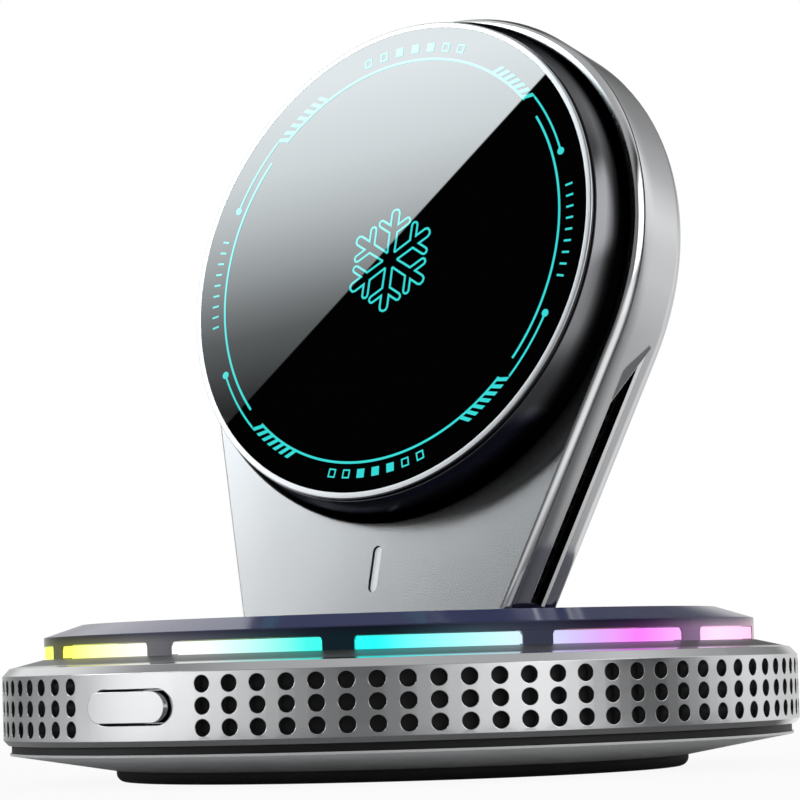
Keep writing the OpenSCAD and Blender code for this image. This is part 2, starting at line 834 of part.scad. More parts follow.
module rear_grille() {
    low = d_back - grille_t;
    color("#1a1a1c") in_arm() translate([0, 0, head_s]) rotate([-90, 0, 0]) difference() {
        ring(grille_r, 0, low, d_back);
        for (r = [grille_pitch + 1:grille_pitch:intake_r - grille_slot]) difference() {
            ring(r + grille_slot, r, low - 1, d_back + 1);
            for (a = [0, 60, 120]) rotate([0, 0, a])
                box([-grille_r, -grille_spoke / 2, low - 2], [grille_r, grille_spoke / 2, d_back + 2]);
        }
    }
}

module arm_screws() {
    shank = arm_t - arm_screw_head_h - arm_screw_skin - gap;
    color("#b9bbbf") in_arm() at_arm_screws() translate([0, 0, d_back]) mirror([0, 0, 1])
        screw(arm_screw_head_r, arm_screw_head_h, arm_screw_r, shank);
}

module puck_housing() {
    color("#0d0d10") in_head() difference() {
        rotate_extrude() polygon([
            [puck_in_r, q_glass], [glass_r + gap / 2, q_glass], [glass_r + gap / 2, bezel_h],
            [rim_neck_r, bezel_h], [rim_neck_r, bezel_h + rim_groove], [puck_front_r, bezel_h + rim_groove],
            [puck_rear_r, puck_depth], [bay_r, puck_depth], [bay_r, q_floor], [puck_in_r, q_floor]
        ]);
        at_puck_screws() ring(puck_screw_r + gap / 2, 0, q_floor + puck_screw_skin, puck_depth + 1);
    }
}

module bezel_ring() {
    color("#e4e5e7") in_head() ring(rim_r, rim_r - bezel_w, 0, bezel_h);
}

module front_glass() {
    color("#050608") in_head() ring(glass_r, 0, glass_recess, q_glass);
}

module light_board() {
    color("#e8ecec") in_head() ring(stack_r, 0, q_magnet - light_board_t, q_magnet);
}

module magnet_ring() {
    magnet_gap = 1;
    color("#9a9ca1") in_head() difference() {
        ring(magnet_r, magnet_in_r, q_magnet, q_cold);
        for (k = [0:magnet_count / 2 - 1]) rotate([0, 0, k * 360 / magnet_count])
            box([-stack_r, -magnet_gap / 2, q_magnet - 1], [stack_r, magnet_gap / 2, q_cold + 1]);
    }
}

module charging_coil() {
    color("#b5652d") in_head() ring(coil_r, coil_in_r, q_cold - ferrite_t - coil_t, q_cold - ferrite_t);
}

module ferrite_sheet() {
    ferrite_rim = 0.6;
    color("#3b3b40") in_head() ring(coil_r + ferrite_rim, 0, q_cold - ferrite_t, q_cold);
}

module cold_plate() {
    color("#c8cacc") in_head() ring(stack_r, 0, q_cold, q_floor);
}

module peltier_module() {
    ceramic_t = 0.7;
    core_inset = 1;
    color("#ecebe6") in_head() {
        for (q = [q_floor, q_hot - ceramic_t])
            box([-peltier_w / 2, -peltier_w / 2, q], [peltier_w / 2, peltier_w / 2, q + ceramic_t]);
        box(
            [-peltier_w / 2 + core_inset, -peltier_w / 2 + core_inset, q_floor + ceramic_t - eps],
            [peltier_w / 2 - core_inset, peltier_w / 2 - core_inset, q_hot - ceramic_t + eps]
        );
    }
}

module heat_sink() {
    spacer_wall = 1.3;
    color("#b4b6ba") in_head() difference() {
        union() {
            ring(sink_r, 0, q_hot, q_sink);
            for (k = [0:fin_count - 1]) rotate([0, 0, k * 360 / fin_count])
                box([fin_in_r, -fin_t / 2, q_sink - eps], [sink_r - seat_gap, fin_t / 2, fin_top]);
            at_puck_screws() ring(puck_screw_r + spacer_wall, 0, q_plate, q_hot + eps);
        }
        at_puck_screws() {
            ring(puck_screw_r + gap, 0, q_plate - 1, q_sink + 1);
            ring(puck_screw_head_r + gap, 0, q_sink, fin_top + 1);
        }
    }
}

module puck_screws() {
    head_h = 0.8;
    color("#b9bbbf") in_head() at_puck_screws() translate([0, 0, q_sink + head_h]) mirror([0, 0, 1])
        screw(puck_screw_head_r, head_h, puck_screw_r, q_sink - q_floor - puck_screw_skin - gap);
}

module fan_board() {
    color("#1d5a3a") in_head() ring(fan_board_r, bearing_r + gap / 2, q_sink, q_sink + fan_board_t);
}

module fan_stator() {
    stator_r = hub_r - hub_wall - rotor_magnet_t - rotor_gap;
    slot_w = 0.7;
    slot_depth = 1.6;
    color("#b5652d") in_head() difference() {
        ring(stator_r, bearing_r + gap / 2, q_sink + fan_board_t, q_stator_top);
        for (k = [0:5]) rotate([0, 0, k * 60])
            box(
                [stator_r - slot_depth, -slot_w / 2, q_sink + fan_board_t + slot_w],
                [stator_r + 1, slot_w / 2, q_back_in]
            );
    }
}

module fan_bearing() {
    color("#c8a24a") in_head() ring(bearing_r, shaft_r + run_fit, q_sink, q_bearing_top);
}

module fan_impeller() {
    blade_lean = 32;
    blade_root = 0.4;
    color("#202227") in_head() {
        difference() {
            ring(hub_r, shaft_r, q_hub, q_hub_top);
            ring(hub_r - hub_wall, 0, q_hub - 1, q_hub_top - hub_top_t);
        }
        intersection() {
            ring(fan_r, hub_r - eps, q_hub, blade_top);
            for (k = [0:blade_count - 1]) rotate([0, 0, k * 360 / blade_count])
                translate([hub_r - blade_root, 0, q_hub]) rotate([0, 0, blade_lean])
                    translate([0, -blade_t / 2, 0]) cube([fan_r, blade_t, blade_top - q_hub]);
        }
    }
}

module rotor_magnet() {
    color("#3b3b40") in_head()
        ring(hub_r - hub_wall - eps, hub_r - hub_wall - rotor_magnet_t, q_hub + gap, q_hub_top - hub_top_t);
}

module fan_shaft() {
    color("#c9cbd0") in_head() ring(shaft_r, 0, q_sink + gap, q_hub_top);
}

foot_pad();
bottom_shell();
weight_plate();
grille_band();
band_liner();
light_frame();
light_guide();
led_board();
leds();
top_cover();
button_guide();
switch_board();
tact_switch();
main_board();
usb_socket();
hinge_bracket();
hinge_pin();
friction_washers();
bracket_screws();
base_screws();
power_button();
hinge_barrel();
arm_front_plate();
arm_rear_shell();
side_vent_right();
side_vent_left();
indicator_lens();
rear_grille();
arm_screws();
puck_housing();
bezel_ring();
front_glass();
light_board();
magnet_ring();
charging_coil();
ferrite_sheet();
cold_plate();
peltier_module();
heat_sink();
puck_screws();
fan_board();
fan_stator();
fan_bearing();
fan_impeller();
rotor_magnet();
fan_shaft();
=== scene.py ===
from math import copysign, cos, degrees, pi, radians, sin, sqrt

import bmesh
import bpy
from mathutils import Matrix, Vector
from mathutils.geometry import delaunay_2d_cdt


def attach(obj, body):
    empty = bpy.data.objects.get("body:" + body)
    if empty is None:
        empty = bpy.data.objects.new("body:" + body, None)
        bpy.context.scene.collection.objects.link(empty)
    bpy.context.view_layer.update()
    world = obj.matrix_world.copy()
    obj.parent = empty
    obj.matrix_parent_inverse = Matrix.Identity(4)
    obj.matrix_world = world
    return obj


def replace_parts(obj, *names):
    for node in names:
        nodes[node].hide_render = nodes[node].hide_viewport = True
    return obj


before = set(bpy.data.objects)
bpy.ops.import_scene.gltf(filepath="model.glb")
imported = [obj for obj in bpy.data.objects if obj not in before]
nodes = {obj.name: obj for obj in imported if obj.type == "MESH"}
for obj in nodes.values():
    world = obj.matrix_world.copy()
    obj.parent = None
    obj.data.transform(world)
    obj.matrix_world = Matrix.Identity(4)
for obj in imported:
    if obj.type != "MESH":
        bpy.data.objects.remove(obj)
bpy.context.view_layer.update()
scene = bpy.context.scene
scene.view_settings.view_transform = "Standard"
mm = 0.001
tiny = 1e-5  # mm, points nearer than this are one

# arm and head of the part, in mm: hinge, lean of the arm, place of the glass
armPose = {"hinge": (0, -1.4, 15.5), "lean": 14.6, "headUp": 48.6, "faceDepth": -11.7}
lean = radians(armPose["lean"])
faceWay = Vector((0, -cos(lean), sin(lean)))  # out of the glass
backWay = -faceWay
upWay = Vector((0, sin(lean), cos(lean)))  # up along the arm
atHome, toMetres, toMillimetres = Matrix.Identity(4), Matrix.Scale(mm, 4), Matrix.Scale(1 / mm, 4)
armFrame = Matrix.Translation(armPose["hinge"]) @ Matrix.Rotation(-lean, 4, "X")
# head frame: x right, y up, z out of the glass
headFrame = (armFrame @ Matrix.Translation((0, armPose["faceDepth"], armPose["headUp"])) @
             Matrix.Rotation(radians(90), 4, "X"))


def linear(hexText):
    parts = [int(hexText[i:i + 2], 16) / 255 for i in (1, 3, 5)]
    return [c / 12.92 if c <= 0.04045 else ((c + 0.055) / 1.055) ** 2.4 for c in parts] + [1.0]


# a node stands for the output it gives, a socket is linked, anything else is the input's own value
def setInputs(node, inputs):
    for key, value in inputs.items():
        if isinstance(value, bpy.types.Node):
            value = next(socket for socket in value.outputs if socket.enabled)
        if key in ("From", "To"):  # both limits of a range
            setInputs(node, {key + " Min": value[0], key + " Max": value[1]})
        elif isinstance(value, bpy.types.NodeSocket):
            node.id_data.links.new(value, node.inputs[key])
        else:
            node.inputs[key].default_value = value


# a kind with no prefix is a shader node
def addNode(tree, kind, inputs=None, action=None, **settings):
    node = tree.nodes.new(kind if "Node" in kind else "ShaderNode" + kind)
    if action:
        node.operation = action
    for key, value in settings.items():
        setattr(node, key, value)
    setInputs(node, inputs or {})
    return node


def setRamp(node, stops, mode="LINEAR"):
    ramp = node.color_ramp
    ramp.interpolation = mode
    while len(ramp.elements) < len(stops):
        ramp.elements.new(0.5)
    for element, (place, colour) in zip(ramp.elements, stops):
        element.position = place
        element.color = linear(colour) if isinstance(colour, str) else [colour] * 3 + [1.0]
    return node


# ramp that runs round the z axis, its stops in degrees from the front
def roundRamp(tree, place, stops, mode="LINEAR"):
    axes = addNode(tree, "SeparateXYZ", {0: place}).outputs
    front = addNode(tree, "Math", {0: axes["Y"], 1: -1.0}, "MULTIPLY")
    turn = addNode(tree, "Math", {0: axes["X"], 1: front}, "ARCTAN2")
    share = addNode(tree, "MapRange", {"Value": turn, "From": (-pi, pi)})
    ramp = addNode(tree, "ValToRGB", {0: share})
    return setRamp(ramp, [((angle + 180) / 360, tone) for angle, tone in stops], mode)


def shaderOf(material):
    return material.node_tree.nodes["Principled BSDF"]


def newMaterial(name, inputs):
    material = bpy.data.materials.new(name)
    material.use_nodes = True
    setInputs(shaderOf(material), inputs)
    return material, material.node_tree, shaderOf(material)


# colour, roughness and bump from two noises in a piece's own space, over edges broken by a small radius
def grainedMaterial(name, inputs, colour, rough, grain, kind, edge, depth, stretch=(1, 1, 1)):
    material, tree, shader = newMaterial(name, inputs)
    place = addNode(tree, "TexCoord").outputs["Object"]
    drawn = addNode(tree, "Mapping", {"Vector": place, "Scale": stretch})
    fine = addNode(tree, "TexNoise", {"Vector": drawn, "Scale": 1 / (grain * mm), "Detail": kind["detail"]})
    cloud = addNode(tree, "TexNoise", {"Vector": place, "Scale": 1 / (kind["cloud"] * mm), "Detail": 2.0})
    roughBy, tintBy = (fine, cloud) if kind["fineRough"] else (cloud, fine)
    spread = addNode(tree, "MapRange", {"Value": roughBy, "To": rough})
    tint = addNode(tree, "MapRange", {"Value": tintBy, "From": kind["tintFrom"], "To": kind["tintTo"]})
    shade = addNode(tree, "VectorMath", {0: linear(colour)[:3], "Scale": tint}, "SCALE")
    rounded = addNode(tree, "Bevel", {"Radius": edge * mm}, samples=kind["samples"])
    bump = addNode(tree, "Bump", {
        "Height": fine, "Normal": rounded, "Strength": kind["bump"], "Distance": depth * mm})
    setInputs(shader, {"Base Color": shade, "Roughness": spread, "Normal": bump})
    return material


# scales the colour that a material has so far by a tone
def dimColour(material, tone):
    shader = shaderOf(material)
    before = shader.inputs["Base Color"].links[0].from_socket
    setInputs(shader, {"Base Color": addNode(
        material.node_tree, "VectorMath", {0: before, "Scale": tone}, "SCALE")})


# moves a material's roughness towards another where a share says so
def changeRough(material, share, rough):
    shader = shaderOf(material)
    before = shader.inputs["Roughness"].links[0].from_socket
    setInputs(shader, {"Roughness": addNode(
        material.node_tree, "MapRange", {"Value": share, "To": (before, rough)})})


# satin metal: soft sheen over a fine grain, drawn coarser than the real one so that it shows
metalGrain = {"detail": 3.0, "cloud": 14.0, "fineRough": True, "spread": 0.015, "tintFrom": (0.3, 0.7),
              "tintTo": (0.97, 1.03), "bump": 0.012, "depth": 0.02, "samples": 6}


def satinMetal(name, colour, roughness, grain, stretch=(1, 1, 1), edge=0.12):
    rough = (roughness - metalGrain["spread"], roughness + metalGrain["spread"])
    return grainedMaterial(name, {"Metallic": 1.0}, colour, rough, grain, metalGrain, edge,
                           metalGrain["depth"], stretch)


# moulded plastic: fine spark-eroded texture in the tool, so the gloss breaks up a little
mouldGrain = {"detail": 4.0, "cloud": 9.0, "fineRough": False, "spread": 0.15, "tintFrom": (0.0, 1.0),
              "tintTo": (0.92, 1.08), "bump": 0.15, "edge": 0.12, "samples": 4}


def mouldedPlastic(name, colour, roughness, grain, depth, ior=1.52):
    rough = (roughness * (1 - mouldGrain["spread"]), roughness * (1 + mouldGrain["spread"]))
    return grainedMaterial(name, {"IOR": ior}, colour, rough, grain, mouldGrain, mouldGrain["edge"], depth)


# lead-in pressed beside the slanted end of each outlet slot, in mm from the slot's tip
leadIn = {"tip": (32.96, 1.5, 36.83), "taper": 19.0, "slant": 22.5, "tilt": 0.14, "start": -1.2, "end": 7.3,
          "narrow": 0.5, "wide": 1.5, "wideAt": 3.2, "closeFrom": 4.0, "closeTo": 7.2, "closed": 0.1,
          "soft": 0.15, "gap": 0.02}


# how far the surface turns in at the lead-in, as a share of a right angle
def leadTilt(tree, place):
    taper, slant = radians(leadIn["taper"]), radians(leadIn["slant"])
    along = Vector((-sin(taper), 0, 0)) - upWay * cos(taper)
    tipX, tipBack, tipUp = leadIn["tip"]
    tip = Vector((tipX, 0, 0)) + Vector(armPose["hinge"]) + backWay * tipBack + upWay * tipUp
    mirrored = addNode(tree, "VectorMath", {0: place}, "ABSOLUTE")
    fromTip = addNode(tree, "VectorMath", {0: mirrored, 1: tip * mm}, "SUBTRACT")
    above = addNode(tree, "VectorMath", {
        0: fromTip, 1: -along * sin(slant) - backWay * cos(slant)}, "DOT_PRODUCT")
    down = addNode(tree, "VectorMath", {
        0: fromTip, 1: along * cos(slant) - backWay * sin(slant)}, "DOT_PRODUCT")
    widens = addNode(tree, "MapRange", {
        "Value": down, "From": (leadIn["start"] * mm, leadIn["wideAt"] * mm),
        "To": (leadIn["narrow"] * mm, leadIn["wide"] * mm)})
    closes = addNode(tree, "MapRange", {
        "Value": down, "From": (leadIn["closeFrom"] * mm, leadIn["closeTo"] * mm),
        "To": (1.0, leadIn["closed"])})
    width = addNode(tree, "Math", {0: widens, 1: closes}, "MULTIPLY")
    past = addNode(tree, "Math", {0: above, 1: width}, "SUBTRACT")
    tilt = addNode(tree, "MapRange", {
        "Value": past, "From": (-leadIn["soft"] * mm, leadIn["soft"] * mm), "To": (leadIn["tilt"], 0.0)})
    for measure, limit, test in ((down, "start", "GREATER_THAN"), (down, "end", "LESS_THAN"),
                                 (above, "gap", "GREATER_THAN")):
        inside = addNode(tree, "Math", {0: measure, 1: leadIn[limit] * mm}, test)
        tilt = addNode(tree, "Math", {0: tilt, 1: inside}, "MULTIPLY")
    return tilt


# rolled front edge of the arm: the normal sweeps from the face to the side over 3 mm, as on a soft radius
rolled = {"from": -5.5, "to": -2.3, "facing": 0.35, "spread": 0.45, "turns": [
    (0.0, 0.33), (0.08, 0.52), (0.13, 0.63), (0.2, 0.7), (0.25, 0.8), (0.33, 0.88), (0.45, 0.92),
    (0.65, 0.965), (1.0, 1.0)]}


def rolledEdge(material):
    tree = material.node_tree
    start = backWay.dot(Vector(armPose["hinge"]))
    coords = addNode(tree, "TexCoord").outputs
    depth = addNode(tree, "VectorMath", {0: coords["Object"], 1: backWay}, "DOT_PRODUCT")
    share = addNode(tree, "MapRange", {
        "Value": depth, "From": ((start + rolled["from"]) * mm, (start + rolled["to"]) * mm)})
    turns = setRamp(addNode(tree, "ValToRGB", {0: share}), rolled["turns"])
    swept = addNode(tree, "Math", {0: turns, 1: leadTilt(tree, coords["Object"])}, "SUBTRACT")
    angle = addNode(tree, "Math", {0: swept, 1: pi / 2}, "MULTIPLY")
    facing = addNode(tree, "VectorMath", {0: coords["Normal"], 1: faceWay}, "DOT_PRODUCT")
    flat = addNode(tree, "VectorMath", {0: faceWay, "Scale": facing}, "SCALE")
    outward = addNode(tree, "VectorMath", {0: coords["Normal"], 1: flat}, "SUBTRACT")
    side = addNode(tree, "VectorMath", {0: outward}, "NORMALIZE")
    cosine = addNode(tree, "Math", {0: angle}, "COSINE")
    sine = addNode(tree, "Math", {0: angle}, "SINE")
    ahead = addNode(tree, "VectorMath", {0: faceWay, "Scale": cosine}, "SCALE")
    across = addNode(tree, "VectorMath", {0: side, "Scale": sine}, "SCALE")
    bent = addNode(tree, "VectorMath", {0: ahead, 1: across})
    onEdge = addNode(tree, "Math", {0: facing, 1: rolled["facing"], 2: rolled["spread"]}, "COMPARE")
    chosen = addNode(tree, "Mix", {"Factor": onEdge, 4: coords["Normal"], 5: bent}, data_type="VECTOR")
    inWorld = addNode(tree, "VectorTransform", {0: chosen}, vector_type="NORMAL",
                      convert_from="OBJECT", convert_to="WORLD")
    setInputs(tree.nodes["Bump"], {"Normal": inWorld})
    return material


# turned: silver with its sheen drawn out round the band
bandMetal = satinMetal("satinAluminiumTurned", "#dfe0e2", 0.14, 0.25, (0.05, 0.05, 1))
# bead-blasted and anodised: even silver, soft reflections
shellMetal = rolledEdge(satinMetal("satinAluminiumBlasted", "#dcdddf", 0.13, 0.12))
# ground and polished: nearly a mirror
brightSteel = satinMetal("polishedSteel", "#e9eaec", 0.09, 0.4, edge=0.2)
# frosted: stays pale from every side
trimMetal = satinMetal("frostedSilverTrim", "#f4f5f6", 0.42, 0.3, edge=0.05)
# plated: dull grey gleam
zincSteel = satinMetal("zincPlatedSteel", "#b9bbbf", 0.33, 0.3)
# milled: matt, with upright streaks
bareAluminium = satinMetal("milledAluminium", "#c3c5c8", 0.38, 0.35, (1, 1, 0.1))
# plated: darker and clearer than zinc
nickel = satinMetal("nickelPlatedMagnet", "#a9abb0", 0.22, 0.3)
# wound wire under enamel: deep orange gleam
copper = satinMetal("enamelledCopper", "#b8662e", 0.3, 0.3, (1, 1, 0.2))
# drawn: warm yellow, lightly worn
brass = satinMetal("drawnBrass", "#cfa54e", 0.25, 0.3)
# flash-plated: bright yellow specks in the socket
gold = satinMetal("goldPlatedContact", "#d9b25a", 0.2, 0.3)

# gloss polycarbonate, tinted through a very dark navy, reflecting with a violet cast; its mid-navy colour,
# kept full only on the cover's bevel, is partly that tint and partly a painted sheen
navyGloss = mouldedPlastic("navyGlossPc", "#50547a", 0.12, 0.5, 0.002)
setInputs(shaderOf(navyGloss), {"Specular Tint": linear("#a6a9e0")})
# polished tool: deep black with clear reflections
blackGloss = mouldedPlastic("blackGlossAbs", "#060607", 0.13, 0.5, 0.002)
# etched tool: black that swallows light
blackMatt = mouldedPlastic("blackMattAbs", "#050506", 0.55, 0.3, 0.02)
# etched tool: pale grey with a broad soft shine
greyAbs = mouldedPlastic("greyTexturedAbs", "#dadbdc", 0.4, 0.3, 0.02)
# pressed silicone: charcoal, almost no shine
footRubber = mouldedPlastic("siliconeRubber", "#2c2c2e", 0.7, 0.4, 0.03, 1.41)
# sintered: dark grey, stony
ferrite = mouldedPlastic("sinteredFerrite", "#37373b", 0.55, 0.2, 0.02)
# fired: off-white, faintly glossy
ceramic = mouldedPlastic("aluminaCeramic", "#e6e5e0", 0.35, 0.3, 0.01, 1.76)
# screen-printed lacquer on the boards: green or white, half gloss
solderMask = mouldedPlastic("greenSolderMask", "#1b5435", 0.3, 0.6, 0.01)
whiteBoard = mouldedPlastic("whiteSolderMask", "#e3e6e6", 0.35, 0.5, 0.01)
# cast resin over the lamps: pale yellow and waxy
lampPlastic = mouldedPlastic("lampEncapsulant", "#efe9c8", 0.3, 0.4, 0.005)

# front plate of the arm: blasted face with a soft sheen, diamond-cut bevel that flashes like a mirror
plate = {"rough": 0.21, "cutRough": 0.07, "cutFacing": 0.707, "cutSpread": 0.2, "slotHalf": 0.9,
         "slotShadeTone": 0.05, "wallSpread": 0.3}
plateMetal = rolledEdge(satinMetal("satinAluminiumPlate", "#dcdddf", plate["rough"], 0.12))
plateTree = plateMetal.node_tree
plateCoords = addNode(plateTree, "TexCoord").outputs
plateFacing = addNode(plateTree, "VectorMath", {0: plateCoords["Normal"], 1: faceWay}, "DOT_PRODUCT")
# walls of the indicator slot: painted shade, their colour darkened near black so that the lens reads as sunk
onWall = addNode(plateTree, "Math", {0: plateFacing, 1: 0.0, 2: plate["wallSpread"]}, "COMPARE")
plateAcross = addNode(plateTree, "SeparateXYZ", {0: plateCoords["Object"]}).outputs["X"]
inSlot = addNode(plateTree, "Math", {0: plateAcross, 1: 0.0, 2: plate["slotHalf"] * mm}, "COMPARE")
slotWallShade = addNode(plateTree, "Math", {0: onWall, 1: inSlot}, "MULTIPLY")
dimColour(plateMetal, addNode(plateTree, "MapRange", {"Value": slotWallShade, "To": (1.0, plate["slotShadeTone"])}))
onCut = addNode(plateTree, "Math", {0: plateFacing, 1: plate["cutFacing"], 2: plate["cutSpread"]},
                "COMPARE")
changeRough(plateMetal, onCut, plate["cutRough"])

# ledge of the band under the windows: rougher than the turned wall, and its colour darkened above 14.55 mm
ledge = {"z": 14.55, "soft": 0.2, "dark": 0.3, "rough": 0.48}
ledgeTree = bandMetal.node_tree
ledgePlace = addNode(ledgeTree, "TexCoord").outputs["Object"]
ledgeUp = addNode(ledgeTree, "MapRange", {
    "Value": addNode(ledgeTree, "SeparateXYZ", {0: ledgePlace}).outputs["Z"],
    "From": (ledge["z"] * mm, (ledge["z"] + ledge["soft"]) * mm)})
dimColour(bandMetal, addNode(ledgeTree, "MapRange", {"Value": ledgeUp, "To": (1.0, ledge["dark"])}))
changeRough(bandMetal, ledgeUp, ledge["rough"])

# black mirror-coated glass: deep black body, a reflection several times that of bare glass
coating = {"Base Color": linear("#010102"), "IOR": 1.9, "Specular IOR Level": 1.0}
haze = {"size": 20.0, "rough": (0.0, 0.004)}
blackGlass, glassTree, glassShader = newMaterial("blackMirrorGlass", coating)
glassHaze = addNode(glassTree, "TexNoise", {
    "Vector": addNode(glassTree, "TexCoord").outputs["Object"], "Scale": 1 / (haze["size"] * mm)})
setInputs(glassShader, {
    "Roughness": addNode(glassTree, "MapRange", {"Value": glassHaze, "To": haze["rough"]})})

# lit legend behind the glass: cyan light with the same gloss over it as the glass
cyan = {"cloud": 6.0, "dim": "#28d2d0", "bright": "#46e2de"}
legendLight, legendTree, legendShader = newMaterial("litLegendCyan", {
    **coating, "Roughness": 0.002, "Emission Strength": 1.0})
legendCloud = addNode(legendTree, "TexNoise", {
    "Vector": addNode(legendTree, "TexCoord").outputs["Object"], "Scale": 1 / (cyan["cloud"] * mm)})
setInputs(legendShader, {"Emission Color": addNode(legendTree, "Mix", {
    "Factor": legendCloud, 6: linear(cyan["dim"]), 7: linear(cyan["bright"])}, data_type="RGBA")})

# opal acrylic light guide: each window glows in the hue of its place on the ring
glow = {"spots": 4.0, "strength": (1.0, 1.12), "hues": [
    (-180, "#ff9a5c"), (-120, "#b6f25a"), (-70, "#dcf760"), (-24, "#fcfd68"), (-5, "#fffdf0"),
    (8, "#fdfefc"), (25, "#40fde8"), (36, "#14fbf8"), (56, "#d2f3fc"), (66, "#d0c0fa"), (78, "#f87afe"),
    (97, "#fcd8fb"), (140, "#ff84b4"), (180, "#ff9a5c")]}
glowLight, glowTree, glowShader = newMaterial("opalAcrylicGlow", {
    "IOR": 1.49, "Roughness": 0.35, "Base Color": linear("#20242a")})
glowPlace = addNode(glowTree, "TexCoord").outputs["Object"]
glowSpots = addNode(glowTree, "TexNoise", {"Vector": glowPlace, "Scale": 1 / (glow["spots"] * mm)})
setInputs(glowShader, {
    "Emission Color": roundRamp(glowTree, glowPlace, glow["hues"]),
    "Emission Strength": addNode(glowTree, "MapRange", {"Value": glowSpots, "To": glow["strength"]})})

# frosted polycarbonate lens on the neck: milky, faintly lit from behind, brighter than the metal round it
lens = {"cloud": 2.0, "strength": (0.36, 0.46)}
lensPlastic = mouldedPlastic("frostedPolycarbonate", "#e4e6e8", 0.3, 0.3, 0.004, 1.58)
lensTree = lensPlastic.node_tree
lensCloud = addNode(lensTree, "TexNoise", {
    "Vector": addNode(lensTree, "TexCoord").outputs["Object"], "Scale": 1 / (lens["cloud"] * mm)})
setInputs(shaderOf(lensPlastic), {
    "Emission Color": linear("#fbfcff"),
    "Emission Strength": addNode(lensTree, "MapRange", {"Value": lensCloud, "To": lens["strength"]})})

# light that leaks through the navy plastic round the windows, in the windows' own hues
leak = {"zFull": 17.1, "zNone": 18.25, "strength": 0.8, "zDark": 18.0, "zPlain": 18.3, "dark": 0.1,
        "topFrom": 0.975, "topTo": 0.995, "topTone": 0.15, "levels": [
            (-180, 0.06), (-30, 0.1), (-6, 0.19), (4, 0.1), (18, 0.045), (26, 0.012), (38, 0.012),
            (50, 0.08), (58, 0.035), (70, 0.045), (82, 0.13), (98, 0.36), (112, 0.4), (140, 0.06),
            (180, 0.06)]}
leakTree = navyGloss.node_tree
leakCoords = addNode(leakTree, "TexCoord").outputs
leakHeight = addNode(leakTree, "SeparateXYZ", {0: leakCoords["Object"]}).outputs["Z"]
leakLow = addNode(leakTree, "MapRange", {
    "Value": leakHeight, "From": (leak["zFull"] * mm, leak["zNone"] * mm), "To": (leak["strength"], 0.0)})
leakDark = addNode(leakTree, "MapRange", {
    "Value": leakHeight, "From": (leak["zDark"] * mm, leak["zPlain"] * mm), "To": (leak["dark"], 1.0)})
# the flat top of the cover keeps its nearly black colour; the navy left on its bevel is partly its own tint
# and partly a painted sheen
bevelSheenTone = addNode(leakTree, "MapRange", {
    "Value": addNode(leakTree, "SeparateXYZ", {0: leakCoords["Normal"]}).outputs["Z"],
    "From": (leak["topFrom"], leak["topTo"]), "To": (1.0, leak["topTone"])})
dimColour(navyGloss, addNode(leakTree, "Math", {0: leakDark, 1: bevelSheenTone}, "MULTIPLY"))
leakHue = addNode(leakTree, "VectorMath", {
    0: roundRamp(leakTree, leakCoords["Object"], glow["hues"]),
    1: roundRamp(leakTree, leakCoords["Object"], leak["levels"])}, "MULTIPLY")
setInputs(shaderOf(navyGloss), {"Emission Color": leakHue, "Emission Strength": leakLow})

nodeLooks = (
    (greyAbs, "bottom_shell"), (bandMetal, "grille_band power_button"), (navyGloss, "top_cover"),
    (blackMatt, "band_liner button_guide tact_switch side_vent_right side_vent_left rear_grille"),
    (solderMask, "led_board switch_board main_board fan_board"), (whiteBoard, "light_board"),
    (zincSteel, "weight_plate usb_socket hinge_bracket bracket_screws hinge_barrel puck_screws"),
    (brightSteel, "hinge_pin fan_shaft"), (brass, "friction_washers fan_bearing"), (lampPlastic, "leds"),
    (plateMetal, "arm_front_plate"), (shellMetal, "arm_rear_shell"), (lensPlastic, "indicator_lens"),
    (blackGlass, "front_glass"), (nickel, "magnet_ring"), (copper, "charging_coil fan_stator"),
    (ferrite, "ferrite_sheet rotor_magnet"), (bareAluminium, "cold_plate heat_sink"),
    (ceramic, "peltier_module"), (blackGloss, "fan_impeller"))
for look, nodeNames in nodeLooks:
    for nodeName in nodeNames.split():
        nodes[nodeName].data.materials.clear()
        nodes[nodeName].data.materials.append(look)
print("materials:", len(bpy.data.materials))


def newObject(name, data):
    made = bpy.data.objects.new(name, data)
    scene.collection.objects.link(made)
    return made


def polar(r, angle):
    turn = radians(angle)
    return (r * cos(turn), r * sin(turn))


# points along an arc about a centre, angles in degrees
def bow(centre, r, start, end, steps):
    spots = [polar(r, start + (end - start) * k / steps) for k in range(steps + 1)]
    return [(centre[0] + x, centre[1] + y) for x, y in spots]


# points in mm, put in place, made to face outwards and turned to metres
def meshPiece(name, points, faces, material, place=atHome, smooth=30):
    bm = bmesh.new()
    corners = [bm.verts.new(p) for p in points]
    for face in faces:
        bm.faces.new([corners[i] for i in face])
    bmesh.ops.remove_doubles(bm, verts=bm.verts, dist=tiny)
    bm.transform(place)
    bmesh.ops.recalc_face_normals(bm, faces=bm.faces)
    if bm.calc_volume(signed=True) < 0:
        bmesh.ops.reverse_faces(bm, faces=bm.faces)
    mesh = bpy.data.meshes.new(name)
    bm.to_mesh(mesh)
    bm.free()
    mesh.transform(toMetres)
    mesh.shade_smooth()
    mesh.set_sharp_from_angle(angle=radians(smooth))
    mesh.materials.append(material)
    return newObject(name, mesh)


# closed section of (radius, height) pairs turned about z
def turned(name, section, material, place=atHome, smooth=30, segments=192):
    count = len(section)
    points = []
    for k in range(segments):
        points += [(*polar(r, 360 * k / segments), z) for r, z in section]
    faces = []
    for k in range(segments):
        here, beyond = k * count, (k + 1) % segments * count
        for i in range(count):
            j = (i + 1) % count
            a, b, c, d = here + i, here + j, beyond + j, beyond + i
            axis = [section[i][0] < tiny, section[j][0] < tiny]
            if not all(axis):
                faces.append([a, b, d] if axis[1] else [a, b, c] if axis[0] else [a, b, c, d])
    return meshPiece(name, points, faces, material, place, smooth)


